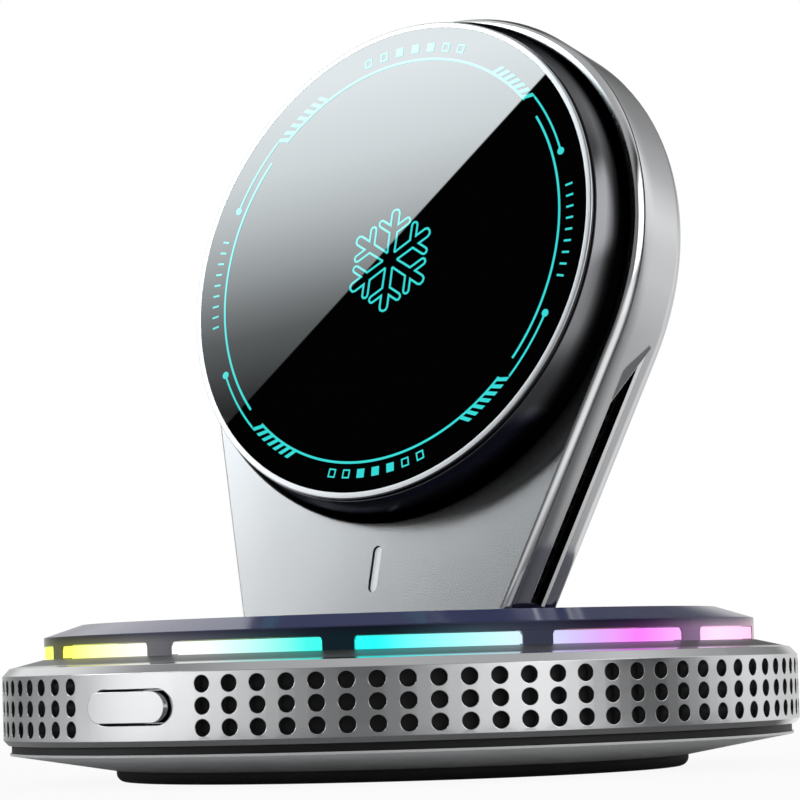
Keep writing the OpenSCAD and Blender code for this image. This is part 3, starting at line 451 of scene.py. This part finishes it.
# strip of columns of four points, closed at both ends or joined into a loop
def stripPiece(name, columns, material, closed=False):
    points = [p for column in columns for p in column]
    total = len(points)
    faces = [] if closed else [[0, 1, 2, 3], [total - 4 + i for i in (3, 2, 1, 0)]]
    for k in range(len(columns) if closed else len(columns) - 1):
        for i in range(4):
            a, b = 4 * k + i, 4 * k + (i + 1) % 4
            faces.append([a, b, (b + 4) % total, (a + 4) % total])
    return meshPiece(name, points, faces, material)


# flat plate of a convex outline
def flatPiece(name, outline, thick, material):
    count = len(outline)
    points = [(x, y, z) for z in (0, thick) for x, y in outline]
    faces = [list(range(count)), list(range(count, 2 * count))]
    faces += [[i, (i + 1) % count, count + (i + 1) % count, count + i] for i in range(count)]
    return meshPiece(name, points, faces, material)


def newTree(name, sockets):
    tree = bpy.data.node_groups.new(name, "GeometryNodeTree")
    for label, kind in sockets.items():
        tree.interface.new_socket(label, in_out="INPUT", socket_type="NodeSocket" + kind)
    tree.interface.new_socket("Geometry", in_out="OUTPUT", socket_type="NodeSocketGeometry")
    return tree, addNode(tree, "NodeGroupInput").outputs


# every tree ends in real geometry with its material
def endTree(tree, copies, material):
    real = addNode(tree, "GeometryNodeRealizeInstances", {0: copies})
    addNode(tree, "NodeGroupOutput", {
        0: addNode(tree, "GeometryNodeSetMaterial", {0: real, "Material": material})})


# copies of a piece round the z axis
turnTree, turnIn = newTree("copiesRoundAxis", {
    "Geometry": "Geometry", "Count": "Int", "Step": "Float", "Start": "Float", "Material": "Material"})
turnAngle = addNode(turnTree, "Math", {
    0: addNode(turnTree, "GeometryNodeInputIndex"), 1: turnIn["Step"], 2: turnIn["Start"]}, "MULTIPLY_ADD")
turnEuler = addNode(turnTree, "CombineXYZ", {"Z": turnAngle})
endTree(turnTree, addNode(turnTree, "GeometryNodeInstanceOnPoints", {
    "Points": addNode(turnTree, "GeometryNodePoints", {"Count": turnIn["Count"]}),
    "Instance": turnIn["Geometry"],
    "Rotation": addNode(turnTree, "FunctionNodeEulerToRotation", {0: turnEuler})}), turnIn["Material"])

# copies of a piece on each point of a mesh
seatTree, seatIn = newTree("copiesOnPoints", {
    "Geometry": "Geometry", "Piece": "Object", "Material": "Material"})
seatPiece = addNode(seatTree, "GeometryNodeObjectInfo", {"Object": seatIn["Piece"]})
endTree(seatTree, addNode(seatTree, "GeometryNodeInstanceOnPoints", {
    "Points": seatIn["Geometry"], "Instance": seatPiece.outputs["Geometry"]}), seatIn["Material"])


def growPiece(name, source, tree, values, place=atHome, smooth=30):
    modifier = source.modifiers.new("grow", "NODES")
    modifier.node_group = tree
    for item in tree.interface.items_tree:
        if item.in_out == "INPUT" and item.name in values:
            modifier[item.identifier] = values[item.name]
    ready = source.evaluated_get(bpy.context.evaluated_depsgraph_get())
    mesh = bpy.data.meshes.new_from_object(ready)
    mesh.name = name
    bpy.data.objects.remove(source)
    mesh.transform(place)
    mesh.set_sharp_from_angle(angle=radians(smooth))
    return newObject(name, mesh)


# angles in degrees
def copyRound(name, source, count, step, start=0.0, place=atHome):
    return growPiece(name, source, turnTree, {
        "Count": count, "Step": radians(step), "Start": radians(start),
        "Material": source.data.materials[0]}, place)


# spots in mm
def copyOnto(name, source, spots, place=atHome):
    seats = bpy.data.meshes.new(name + "Seats")
    seats.from_pydata([Vector(spot) * mm for spot in spots], [], [])
    piece = growPiece(name, newObject(name + "Seats", seats), seatTree, {
        "Piece": source, "Material": source.data.materials[0]}, place)
    bpy.data.objects.remove(source)
    return piece


def joinPieces(name, pieces):
    bm = bmesh.new()
    material = pieces[0].data.materials[0]
    for piece in pieces:
        bm.from_mesh(piece.data)
        bpy.data.objects.remove(piece)
    mesh = bpy.data.meshes.new(name)
    bm.to_mesh(mesh)
    bm.free()
    mesh.materials.append(material)
    return newObject(name, mesh)


# rubber foot: rounded lower edge and two shallow grip grooves
foot = {"r": 36.0, "h": 1.5, "edge": 1.1, "steps": 7, "grooves": (30.0, 24.0), "grooveHalf": 0.4,
        "grooveFloor": 0.24, "grooveD": 0.4, "sides": 128}
footSection = [(0, foot["h"]), (foot["r"], foot["h"])]
footSection += bow((foot["r"] - foot["edge"], foot["edge"]), foot["edge"], 0, -90, foot["steps"])
for grooveR in foot["grooves"]:
    footSection += [(grooveR + foot["grooveHalf"], 0), (grooveR + foot["grooveFloor"], foot["grooveD"]),
                    (grooveR - foot["grooveFloor"], foot["grooveD"]), (grooveR - foot["grooveHalf"], 0)]
footSection.append((0, 0))
rubberFoot = turned("rubberFoot", footSection, footRubber, segments=foot["sides"])
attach(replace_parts(rubberFoot, "foot_pad"), "base")

# light ring: a dark frame with flared posts and opal windows with rounded upper corners
ring = {"r": 44.7, "wall": 1.3, "count": 12, "postHalf": 1.87, "corner": 0.55, "zFoot": 14.0, "zLow": 15.45,
        "zTop": 17.1, "gap": 0.1, "lap": 0.01, "seam": 0.002, "hair": 0.001, "steps": 5, "windowSteps": 20,
        "crowd": 0.6, "cornerShare": 0.99, "guideIn": 41.6, "guideOut": 43.3, "guideTop": 17.0}
ringBack = ring["r"] - ring["wall"]


# how far the rounded corner hangs down at a distance from the post
def cornerDrop(outside):
    inside = max(0.0, ring["corner"] - outside)
    return ring["corner"] - sqrt(max(0.0, ring["corner"] ** 2 - inside ** 2))


# columns of a strip round the ring, from (place along the ring, bottom, top)
def ringColumns(spans, rNear, rFar):
    columns = []
    for span, low, top in spans:
        near, far = [polar(r, degrees(span / ring["r"]) - 90) for r in (rNear, rFar)]
        columns.append([(*near, low), (*near, top), (*far, top), (*far, low)])
    return columns


pitch = 2 * pi * ring["r"] / ring["count"]
flare = [ring["corner"] * k / ring["steps"] for k in range(1, ring["steps"] + 1)]
postSide = [(ring["postHalf"], ring["zLow"] - ring["lap"], ring["zTop"]),
            (ring["postHalf"] + ring["hair"], ring["zTop"] - ring["corner"], ring["zTop"])]
postSide += [(ring["postHalf"] + out, ring["zTop"] - cornerDrop(out) - ring["seam"], ring["zTop"])
             for out in flare]
postSpans = [(-span, low, top) for span, low, top in reversed(postSide)] + postSide
post = stripPiece("lightPost", ringColumns(postSpans, ring["r"], ringBack), navyGloss)
posts = copyRound("lightPosts", post, ring["count"], 360 / ring["count"])
frameRing = turned("frameRing", [
    (ring["r"], ring["zFoot"]), (ring["r"], ring["zLow"]), (ringBack, ring["zLow"]),
    (ringBack, ring["zFoot"])], navyGloss)
lightFrame = joinPieces("lightFrame", [frameRing, posts])
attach(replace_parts(lightFrame, "light_frame"), "base")

windowHalf = pitch / 2 - ring["postHalf"] - ring["gap"]
windowSpans = []
for k in range(-ring["windowSteps"], ring["windowSteps"] + 1):
    side = k / ring["windowSteps"]
    span = windowHalf * copysign(abs(side) ** ring["crowd"], side)
    drop = cornerDrop(windowHalf - abs(span)) * ring["cornerShare"]  # keeps the end columns open
    windowSpans.append((span + pitch / 2, ring["zLow"] + ring["gap"], ring["zTop"] - ring["gap"] - drop))
window = stripPiece("glowWindow", ringColumns(windowSpans, ring["r"] - ring["gap"], ringBack), glowLight)
windows = copyRound("glowWindowsOnly", window, ring["count"], 360 / ring["count"])
guideRing = turned("guideRing", [
    (ring["guideOut"], ring["zFoot"]), (ring["guideOut"], ring["guideTop"]),
    (ring["guideIn"], ring["guideTop"]), (ring["guideIn"], ring["zFoot"])], glowLight)
glowWindows = joinPieces("glowWindows", [windows, guideRing])
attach(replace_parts(glowWindows, "light_guide"), "base")
print("light ring:", ring["count"], "windows")

# head: thin bright rim flush with the glass, its outer corner rounded, z measured out of the glass
bezel = {"rIn": 31.21, "foot": 31.75, "mid": 31.78, "round": 0.22, "h": 0.7, "front": -0.13, "from": -20,
         "steps": 8, "fade": [(0.25, 1.0), (0.4, 0.1), (0.7, 0.25)]}
glassDepth = backWay.dot(headFrame.translation)


# colour of a material dimmed by a tone that changes with the depth behind the head's front, in mm
def fadeBehindGlass(material, stops):
    tree = material.node_tree
    reach = stops[-1][0]
    depth = addNode(tree, "VectorMath", {
        0: addNode(tree, "TexCoord").outputs["Object"], 1: backWay}, "DOT_PRODUCT")
    share = addNode(tree, "MapRange", {
        "Value": depth, "From": (glassDepth * mm, (glassDepth + reach) * mm)})
    dimColour(material, setRamp(addNode(tree, "ValToRGB", {0: share}), [
        (deep / reach, level) for deep, level in stops]))
    return material


# bright-cut steel: the rim's front flashes as one thin line; down its side the colour is dimmed with depth
# as painted shade, a dark line that eases to grey further back
rimMetal = fadeBehindGlass(satinMetal("satinSteelRim", "#d8d9db", 0.32, 0.3, edge=0.03), bezel["fade"])
bezelRound = bow((bezel["mid"], bezel["front"] - bezel["round"]), bezel["round"], bezel["from"], 90,
                 bezel["steps"])
bezelSection = [(bezel["rIn"], -bezel["h"]), (bezel["foot"], -bezel["h"]), *bezelRound,
                (bezel["rIn"], bezel["front"])]
brightRim = turned("brightRim", bezelSection, rimMetal, headFrame)
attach(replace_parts(brightRim, "bezel_ring"), "arm")

# black body of the head, which swells towards the arm
puck = {"lip": 31.25, "lipDepth": 1.15, "neck": 31.65, "rear": 33.6, "depth": 6.2, "groove": 1.0,
        "swell": 9.81, "from": 32, "steps": 16, "inner": 30.0, "floor": 5.2, "bay": 24.0,
        "fade": [(2.2, 1.0), (2.85, 0.5), (3.5, 0.13), (4.2, 0.02)]}
# black chrome, its colour dimmed with depth behind the head's front: mirror-like by the rim, dead black by
# the arm
blackChrome = fadeBehindGlass(satinMetal("blackChrome", "#7c7d80", 0.2, 0.3), puck["fade"])
setInputs(shaderOf(blackChrome), {"Specular Tint": linear("#0c0c0c")})
puckSection = [(puck["lip"], -bezel["h"]), (puck["neck"], -bezel["h"]), (puck["neck"], -puck["groove"])]
puckSection += bow((puck["rear"] - puck["swell"], -puck["depth"]), puck["swell"], puck["from"], 0,
                   puck["steps"])
puckSection += [(puck["bay"], -puck["depth"]), (puck["bay"], -puck["floor"]),
                (puck["inner"], -puck["floor"]), (puck["inner"], -puck["lipDepth"]),
                (puck["lip"], -puck["lipDepth"])]
headBody = turned("headBody", puckSection, blackChrome, headFrame, 40)
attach(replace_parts(headBody, "puck_housing"), "arm")

# lit legend on the glass: broken ring, hatch blocks, arcs with dots, squares, ticks and a snowflake
legend = {
    "spot": (0.08, -0.2, -0.14), "thick": 0.03, "ringR": 27.08, "line": 0.3, "arcStep": 1.5, "mitre": 0.5,
    "ringSpans": ((-34, 38), (45.2, 137.7), (145, 224), (230.6, 319.9)),
    "hatchCount": 7, "hatchLean": 0.95, "hatchHalf": 0.62, "hatchGap": 0.005, "hatchTop": 28.45,
    "hatches": ((44.9, 2.36, -1), (121.9, 2.7, 1), (230.2, 2.54, -1), (306.0, 2.38, 1)),
    "arcR": 28.35, "arcLine": 0.26, "dotR": 0.5, "dotSides": 20,
    "arcSpans": ((43.3, 24), (139.7, 161), (228.6, 209), (321.9, 340)),
    "squareHalf": 0.575, "squareLine": 0.18, "hollowShare": 0.85,
    "squareRows": ((90, 5.15, 28.7), (276, 4.75, 28.55)),
    "tickFrom": 28.15, "tickTo": 29.2, "tickLine": 0.26, "tickCount": 9, "tickStep": 3.0, "tickTurn": 2.0,
    "flakeLine": 0.28, "flakeSpot": (0.6, -0.3, 0), "flakeSide": [
        (0.58, 1.0), (0.62, 3.72), (2.28, 4.68), (2.5, 4.92), (2.52, 5.22), (2.3, 5.5), (1.98, 5.52),
        (0.62, 4.75), (0.62, 6.3), (0.45, 6.68), (0.0, 6.84)]}


def arc(r, start, end):
    return bow((0, 0), r, start, end, max(4, int(abs(end - start) / legend["arcStep"])))


# flat line of a given width on the glass, mitred at its corners
def linePiece(name, path, width, closed=False):
    count = len(path)
    columns = []
    for i in range(count):
        here = Vector(path[i])
        before = Vector(path[i - 1]) if closed or i > 0 else None
        after = Vector(path[(i + 1) % count]) if closed or i < count - 1 else None
        ahead = [(q - p).normalized() for p, q in ((before, here), (here, after)) if p and q]
        along = sum(ahead, Vector((0, 0))).normalized()
        across = Vector((-along.y, along.x)) * (width / 2 / max(legend["mitre"], along.dot(ahead[0])))
        columns.append([(*(here + across * side), height * legend["thick"])
                        for side, height in ((1, 0), (1, 1), (-1, 1), (-1, 0))])
    return stripPiece(name, columns, legendLight, closed)


legendPieces = [linePiece("ringArc", arc(legend["ringR"], start, end), legend["line"])
                for start, end in legend["ringSpans"]]
hatchFoot = legend["ringR"] + legend["line"] / 2 + legend["hatchGap"]
for hatchStart, hatchStep, slope in legend["hatches"]:
    tilt = slope * legend["hatchLean"]
    bar = [polar(r, turn + side * legend["hatchHalf"]) for r, turn, side in (
        (hatchFoot, -tilt, -1), (hatchFoot, -tilt, 1), (legend["hatchTop"], tilt, 1),
        (legend["hatchTop"], tilt, -1))]
    hatchBar = flatPiece("hatchBar", bar, legend["thick"], legendLight)
    legendPieces.append(copyRound("hatchBlock", hatchBar, legend["hatchCount"], hatchStep, hatchStart))
for start, end in legend["arcSpans"]:
    dotEdge = copysign(degrees(legend["dotR"] / legend["arcR"]), end - start)
    legendPieces.append(linePiece("outerArc", arc(legend["arcR"], start, end - dotEdge), legend["arcLine"]))
    dot = bow(polar(legend["arcR"], end), legend["dotR"], 0, 360, legend["dotSides"])[:-1]
    legendPieces.append(flatPiece("arcDot", dot, legend["thick"], legendLight))
square = ((-1, -1), (1, -1), (1, 1), (-1, 1))
for middle, squareStep, rowR in legend["squareRows"]:
    solid, hollow = [[(rowR + x * half, y * half) for x, y in square] for half in (
        legend["squareHalf"], legend["squareHalf"] * legend["hollowShare"])]
    # three lit squares with two hollow ones on either side
    lit = flatPiece("squareSolid", solid, legend["thick"], legendLight)
    legendPieces.append(copyRound("squaresLit", lit, 3, squareStep, middle - squareStep))
    for first in (-3, 2):
        unlit = linePiece("squareHollow", hollow, legend["squareLine"], True)
        legendPieces.append(copyRound("squaresHollow", unlit, 2, squareStep, middle + first * squareStep))
for middle in (0, 180):
    tick = linePiece("tick", [(legend["tickFrom"], 0), (legend["tickTo"], 0)], legend["tickLine"])
    tickStart = middle - (legend["tickCount"] - 1) / 2 * legend["tickStep"] + legend["tickTurn"]
    legendPieces.append(copyRound("ticks", tick, legend["tickCount"], legend["tickStep"], tickStart))
flakeArm = legend["flakeSide"] + [(-x, y) for x, y in reversed(legend["flakeSide"][:-1])]
legendPieces.append(copyRound("snowflake", linePiece("flakeArm", flakeArm, legend["flakeLine"]), 6, 60,
                              place=Matrix.Translation(Vector(legend["flakeSpot"]) * mm)))
litLegend = joinPieces("litLegend", legendPieces)
litLegend.data.transform(toMetres @ headFrame @ Matrix.Translation(legend["spot"]) @ toMillimetres)
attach(litLegend, "arm")
print("legend:", len(litLegend.data.polygons), "faces")


# cross-head screws: shares of the head and of the recess
crossHead = {"sides": 32, "flat": 0.9, "edge": 0.15, "slot": 0.3, "taper": 0.75, "deep": 0.6}


# screw with its head up, in mm from the top of the head
def screwPiece(name, screw):
    sides, headR, headH = crossHead["sides"], screw["head"], screw["headH"]
    arm, wide, flatR = screw["recess"], screw["recess"] * crossHead["slot"], headR * crossHead["flat"]
    cross = [(wide, wide), (wide, arm), (-wide, arm), (-wide, wide), (-arm, wide), (-arm, -wide),
             (-wide, -wide), (-wide, -arm), (wide, -arm), (wide, -wide), (arm, -wide), (arm, wide)]
    count = len(cross)
    circle = bow((0, 0), 1.0, 0, 360, sides)[:-1]
    flat = [Vector(p) * flatR for p in circle] + [Vector(p) for p in cross]
    loops = [list(range(sides)), [sides + i for i in reversed(range(count))]]
    filled = delaunay_2d_cdt(flat, [], loops, 2, tiny)
    points = [(p.x, p.y, 0) for p in filled[0]]
    faces = [list(face) for face in filled[2]]
    base = len(points)
    points += [(*Vector(p) * crossHead["taper"], -headH * crossHead["deep"]) for p in cross]
    faces += [[sides + i, sides + (i + 1) % count, base + (i + 1) % count, base + i] for i in range(count)]
    faces.append([base + i for i in range(count)])
    under = list(range(sides))
    for r, z in ((headR, -headH * crossHead["edge"]), (headR, -headH), (screw["shank"], -headH),
                 (screw["shank"], -headH - screw["len"])):
        upper, under = under, [len(points) + k for k in range(sides)]
        points += [(r * x, r * y, z) for x, y in circle]
        faces += [[upper[k], under[k], under[(k + 1) % sides], upper[(k + 1) % sides]] for k in range(sides)]
    faces.append(under)
    return meshPiece(name, points, faces, zincSteel)


armScrew = {"head": 1.6, "headH": 0.8, "shank": 0.9, "len": 9.6, "recess": 0.85, "x": 13.0,
            "ups": (8.65, 19.469), "back": 5.5}
inArm = toMetres @ armFrame @ toMillimetres @ Matrix.Rotation(radians(-90), 4, "X")
armScrews = copyOnto("armScrews", screwPiece("armScrew", armScrew), [
    (side * armScrew["x"], -up, armScrew["back"]) for side in (-1, 1) for up in armScrew["ups"]], inArm)
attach(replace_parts(armScrews, "arm_screws"), "arm")
baseScrew = {"head": 2.2, "headH": 1.3, "shank": 1.25, "len": 11.2, "recess": 1.15, "circle": 33.0, "z": 1.5}
downward = Matrix.Rotation(radians(180), 4, "X")
baseScrews = copyOnto("baseScrews", screwPiece("baseScrew", baseScrew), [
    (*polar(baseScrew["circle"], angle), -baseScrew["z"]) for angle in (45, -45, 135, -135)], downward)
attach(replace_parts(baseScrews, "base_screws"), "base")
print("screws:", len(armScrews.data.polygons) + len(baseScrews.data.polygons), "faces")

# outlets: black lining in each side slot, thin silver trim on its rear and slanted edges
outlet = {"r": 35.0, "taper": 19.0, "front": -1.4, "back": 1.5, "top": 0.4, "slant": 7.0, "end": 33.9,
          "edgeGaps": (0.01, 0.02, 0.01), "trimGaps": (0.42, 1.0, 0.02), "lineGaps": (0.08, 0.12, 0.08),
          "trimProud": 0.01, "trimDeep": 0.24, "lineIn": 33.42, "lineOut": 34.7}


# outline of the slot (depth, height), drawn in by a gap at the back, the top and the front
def outletOutline(back, top, front):
    rear, ahead, high = outlet["back"] - back, outlet["front"] + front, -outlet["top"] - top
    return [(rear, high), (ahead, high - outlet["slant"]), (ahead, -outlet["end"]), (rear, -outlet["end"])]


slotEdge, trimEdge, lineEdge = [
    outletOutline(*outlet[gaps]) for gaps in ("edgeGaps", "trimGaps", "lineGaps")]
trimOut, trimIn = outlet["r"] + outlet["trimProud"], outlet["r"] - outlet["trimDeep"]
lineOut, lineIn = outlet["lineOut"], outlet["lineIn"]
for sideName, flip in (("Right", 1), ("Left", -1)):
    sidePlace = (armFrame @ Matrix.Scale(flip, 4, (1, 0, 0)) @
                 Matrix.Translation((0, 0, armPose["headUp"])) @
                 Matrix.Rotation(radians(outlet["taper"]), 4, "Y"))
    for pieceName, loops, look, slotName in (
            ("outletTrim", ((trimOut, slotEdge), (trimIn, trimEdge), (trimIn, slotEdge)), trimMetal,
             "polished_silver"),
            ("outletLining", ((lineOut, slotEdge), (lineOut, lineEdge), (lineIn, lineEdge),
                              (lineIn, slotEdge)), blackGloss, "black_gloss")):
        points = [(r, *p) for r, loop in loops for p in loop]
        faces = []
        for row in range(len(loops)):
            here, beyond = 4 * row, 4 * ((row + 1) % len(loops))
            faces += [[here + k, here + (k + 1) % 4, beyond + (k + 1) % 4, beyond + k] for k in range(4)]
        piece = meshPiece(pieceName + sideName, points, faces, look, sidePlace)
        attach(piece, "arm")

# contacts on the socket's tongue
contact = {"count": 12, "pitch": 0.5, "w": 0.26, "len": 4.2, "y": 48.6, "z": 9.55, "half": 0.35, "t": 0.03}
contactBar = flatPiece("contactBar", [
    (x * contact["w"] / 2, -y * contact["len"]) for x, y in ((-1, 0), (1, 0), (1, 1), (-1, 1))],
    contact["t"], gold)
socketContacts = copyOnto("socketContacts", contactBar, [
    ((k - (contact["count"] - 1) / 2) * contact["pitch"], contact["y"], contact["z"] + up)
    for k in range(contact["count"]) for up in (contact["half"], -contact["half"] - contact["t"])])
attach(socketContacts, "base")
print("trim and contacts done")

# studio: soft cards round the horizon, a large card up on the left whose edge shows in the glass
studio = {
    "peak": 1.25,
    "horizon": [(-180, 0.7), (-150, 0.68), (-99, 0.24), (-75, 0.44), (-35, 1.25), (29, 0.13), (77, 1.15),
                (109, 0.08), (117, 0.08), (125, 0.3), (141, 0.75), (157, 0.9), (180, 0.7)],
    "upper": [(-180, 0.35), (-165, 0.25), (-147, 0.08), (-142.5, 0.1), (-137, 0.95), (-100, 0.9),
              (-74, 0.003), (-30, 0.003), (5, 0.22), (55, 0.22), (78, 0.01), (112, 0.003), (126, 0.5),
              (140, 0.9), (152, 0.95), (164, 0.55), (180, 0.35)],
    "lowFrom": 0.14, "lowTo": 0.3, "top": 0.5, "topFrom": 0.7, "topTo": 0.95}
# large card: its lower edge is sharp, and it fades along its length
card = {"edge": (-0.50854, 0.78621, 0.35109), "level": 4.1, "sharp": 0.0004, "wide": 0.22, "soft": 0.1,
        "hue": "#f4fcff", "topFrom": 0.68, "topTo": 0.78, "front": -0.1, "axis": (-0.086, 0.667, 0.740),
        "from": -0.05, "to": 0.06, "fade": [
            (-0.045, 0.0), (-0.0337, 0.05), (-0.0196, 0.135), (-0.0122, 0.23), (-0.0016, 0.42),
            (0.0089, 0.61), (0.0231, 0.83), (0.044, 1.0)],
        "lowLevel": 3.4, "lowFade": [(0.08, 0.0), (0.2, 1.0), (0.4, 1.0), (0.425, 0.0)]}
sideCard = {"level": 2.0, "round": [(66, 0.0), (80, 1.0), (112, 1.0), (124, 0.0)],
            "height": [(0.16, 0.0), (0.26, 1.0), (0.62, 1.0), (0.74, 0.0)]}
farLevels = [(angle, level / studio["peak"]) for angle, level in studio["horizon"]]

# floor: white paper that keeps the soft shadow, distances in metres; metal sees the cards' light on it
paper = {"size": 3.0, "colour": "#f4f4f4", "white": 0.92, "fadeFrom": 0.16, "fadeTo": 0.7, "glint": 0.8,
         "nearFrom": 0.09, "nearTo": 0.22, "near": [
             (-180, 0.75), (-131, 0.8), (-112, 0.5), (-95, 0.15), (-60, 0.12), (0, 0.05), (95, 0.05),
             (121, 0.06), (135, 0.65), (150, 1.0), (165, 1.0), (180, 0.75)]}
bpy.ops.mesh.primitive_plane_add(size=paper["size"])
floor = bpy.context.object
floor.name = "floor"
floorPaint = bpy.data.materials.new("paleFloorPaper")
floorPaint.use_nodes = True
floorTree = floorPaint.node_tree
floorTree.nodes.clear()
floorRays = addNode(floorTree, "LightPath").outputs
floorPlace = addNode(floorTree, "TexCoord").outputs["Object"]
floorFar = addNode(floorTree, "VectorMath", {0: floorPlace}, "LENGTH")
floorFade = addNode(floorTree, "MapRange", {
    "Value": floorFar, "From": (paper["fadeFrom"], paper["fadeTo"]),
    "To": (paper["white"], 1.0)}, interpolation_type="SMOOTHSTEP")
floorShare = addNode(floorTree, "Math", {0: floorRays["Is Camera Ray"], 1: floorFade}, "MULTIPLY")
floorSeen = addNode(floorTree, "MixShader", {
    0: floorShare, 1: addNode(floorTree, "BsdfDiffuse", {"Color": linear(paper["colour"])}),
    2: addNode(floorTree, "Emission")})
# close to the base the floor's glow seen by metal falls to the near levels, low in front: a painted shadow
# of the base
floorBlend = addNode(floorTree, "MapRange", {
    "Value": floorFar, "From": (paper["nearFrom"], paper["nearTo"])}, interpolation_type="SMOOTHSTEP")
nearLevels = [(angle, level / studio["peak"]) for angle, level in paper["near"]]
floorLevel = addNode(floorTree, "Mix", {
    "Factor": floorBlend, 6: roundRamp(floorTree, floorPlace, nearLevels, "EASE"),
    7: roundRamp(floorTree, floorPlace, farLevels, "EASE")}, data_type="RGBA")
floorCards = addNode(floorTree, "Emission", {"Color": floorLevel, "Strength": studio["peak"]})
floorMirrored = addNode(floorTree, "Math", {
    0: floorRays["Is Glossy Ray"], 1: floorRays["Is Transmission Ray"]}, "MAXIMUM")
floorGlint = addNode(floorTree, "Math", {0: floorMirrored, 1: paper["glint"]}, "MULTIPLY")
addNode(floorTree, "OutputMaterial", {"Surface": addNode(floorTree, "MixShader", {
    0: floorGlint, 1: floorSeen, 2: floorCards})})
floor.data.materials.append(floorPaint)

world = bpy.data.worlds.new("studio")
scene.world = world
world.use_nodes = True
sky = world.node_tree
sky.nodes.clear()
skyWay = addNode(sky, "TexCoord").outputs["Generated"]
skyAxes = addNode(sky, "SeparateXYZ", {0: skyWay}).outputs
lowShare = addNode(sky, "MapRange", {
    "Value": skyAxes["Z"], "From": (studio["lowFrom"], studio["lowTo"]),
    "To": (1.0, 0.0)}, interpolation_type="SMOOTHSTEP")
topShare = addNode(sky, "MapRange", {
    "Value": skyAxes["Z"], "From": (studio["topFrom"], studio["topTo"])}, interpolation_type="SMOOTHSTEP")
horizonSky = addNode(sky, "VectorMath", {
    0: roundRamp(sky, skyWay, farLevels, "EASE"), "Scale": studio["peak"]}, "SCALE")
lowSky = addNode(sky, "Mix", {
    "Factor": lowShare, 6: roundRamp(sky, skyWay, studio["upper"]), 7: horizonSky}, data_type="RGBA")
plainSky = addNode(sky, "Mix", {
    "Factor": topShare, 6: lowSky, 7: [studio["top"]] * 3 + [1.0]}, data_type="RGBA")
sideHeight = setRamp(addNode(sky, "ValToRGB", {0: skyAxes["Z"]}), sideCard["height"], "EASE")
sideShape = addNode(sky, "VectorMath", {
    0: roundRamp(sky, skyWay, sideCard["round"], "EASE"), 1: sideHeight}, "MULTIPLY")
sideLight = addNode(sky, "VectorMath", {0: sideShape, "Scale": sideCard["level"]}, "SCALE")
cardSide = addNode(sky, "VectorMath", {0: skyWay, 1: card["edge"]}, "DOT_PRODUCT")
cardMask = addNode(sky, "MapRange", {"Value": cardSide, "From": (0.0, card["sharp"])})
cardFar = addNode(sky, "MapRange", {
    "Value": cardSide, "From": (card["wide"], card["wide"] + card["soft"]), "To": (1.0, 0.0)})
cardFront = addNode(sky, "Math", {0: skyAxes["Y"], 1: card["front"]}, "LESS_THAN")
cardTop = addNode(sky, "MapRange", {
    "Value": skyAxes["Z"], "From": (card["topFrom"], card["topTo"]), "To": (1.0, 0.0)})
for share in (cardFar, cardFront, cardTop, card["level"]):
    cardMask = addNode(sky, "Math", {0: cardMask, 1: share}, "MULTIPLY")
cardAlong = addNode(sky, "VectorMath", {0: skyWay, 1: card["axis"]}, "DOT_PRODUCT")
cardSpan = addNode(sky, "MapRange", {"Value": cardAlong, "From": (card["from"], card["to"])})
cardFade = setRamp(addNode(sky, "ValToRGB", {0: cardSpan}), [
    ((along - card["from"]) / (card["to"] - card["from"]), level) for along, level in card["fade"]])
cardHue = addNode(sky, "VectorMath", {0: cardFade, 1: linear(card["hue"])[:3]}, "MULTIPLY")
lowFade = setRamp(addNode(sky, "ValToRGB", {0: skyAxes["Z"]}), card["lowFade"], "EASE")
lowLevel = addNode(sky, "VectorMath", {0: lowFade, "Scale": card["lowLevel"] / card["level"]}, "SCALE")
bothLevels = addNode(sky, "VectorMath", {0: cardHue, 1: lowLevel})
cardLight = addNode(sky, "VectorMath", {0: bothLevels, "Scale": cardMask}, "SCALE")
allCards = addNode(sky, "VectorMath", {0: cardLight, 1: sideLight})
skyLight = addNode(sky, "Background", {"Color": addNode(sky, "VectorMath", {0: plainSky, 1: allCards})})
skyWhite = addNode(sky, "Background", {"Color": linear("#ffffff")})
addNode(sky, "OutputWorld", {"Surface": addNode(sky, "MixShader", {
    0: addNode(sky, "LightPath").outputs["Is Camera Ray"], 1: skyLight, 2: skyWhite})})
print("studio:", len(sky.nodes), "nodes")

# camera of the photograph: spot in mm, turn in degrees, pitch and roll in radians, focal length in pixels
view = {"spot": (287.5, -355.2, 13.35), "turn": 38.86, "pitch": 0.0738, "roll": -0.0295, "focal": 3604.0,
        "frame": 800, "sensor": 36.0, "near": 0.01}
turn, climb = radians(view["turn"]), view["pitch"]
ahead = Vector((-sin(turn) * cos(climb), cos(turn) * cos(climb), sin(climb)))
right = Vector((cos(turn), sin(turn), 0))
up = right.cross(ahead)
rolledRight = right * cos(view["roll"]) + up * sin(view["roll"])
rolledUp = up * cos(view["roll"]) - right * sin(view["roll"])
cameraData = bpy.data.cameras.new("photoCamera")
cameraData.sensor_width = view["sensor"]
cameraData.lens = view["focal"] / view["frame"] * view["sensor"]
cameraData.clip_start = view["near"]
camera = newObject("photoCamera", cameraData)
camera.matrix_world = (Matrix.Translation(Vector(view["spot"]) * mm) @
                       Matrix((rolledRight, rolledUp, -ahead)).transposed().to_4x4())
scene.camera = camera
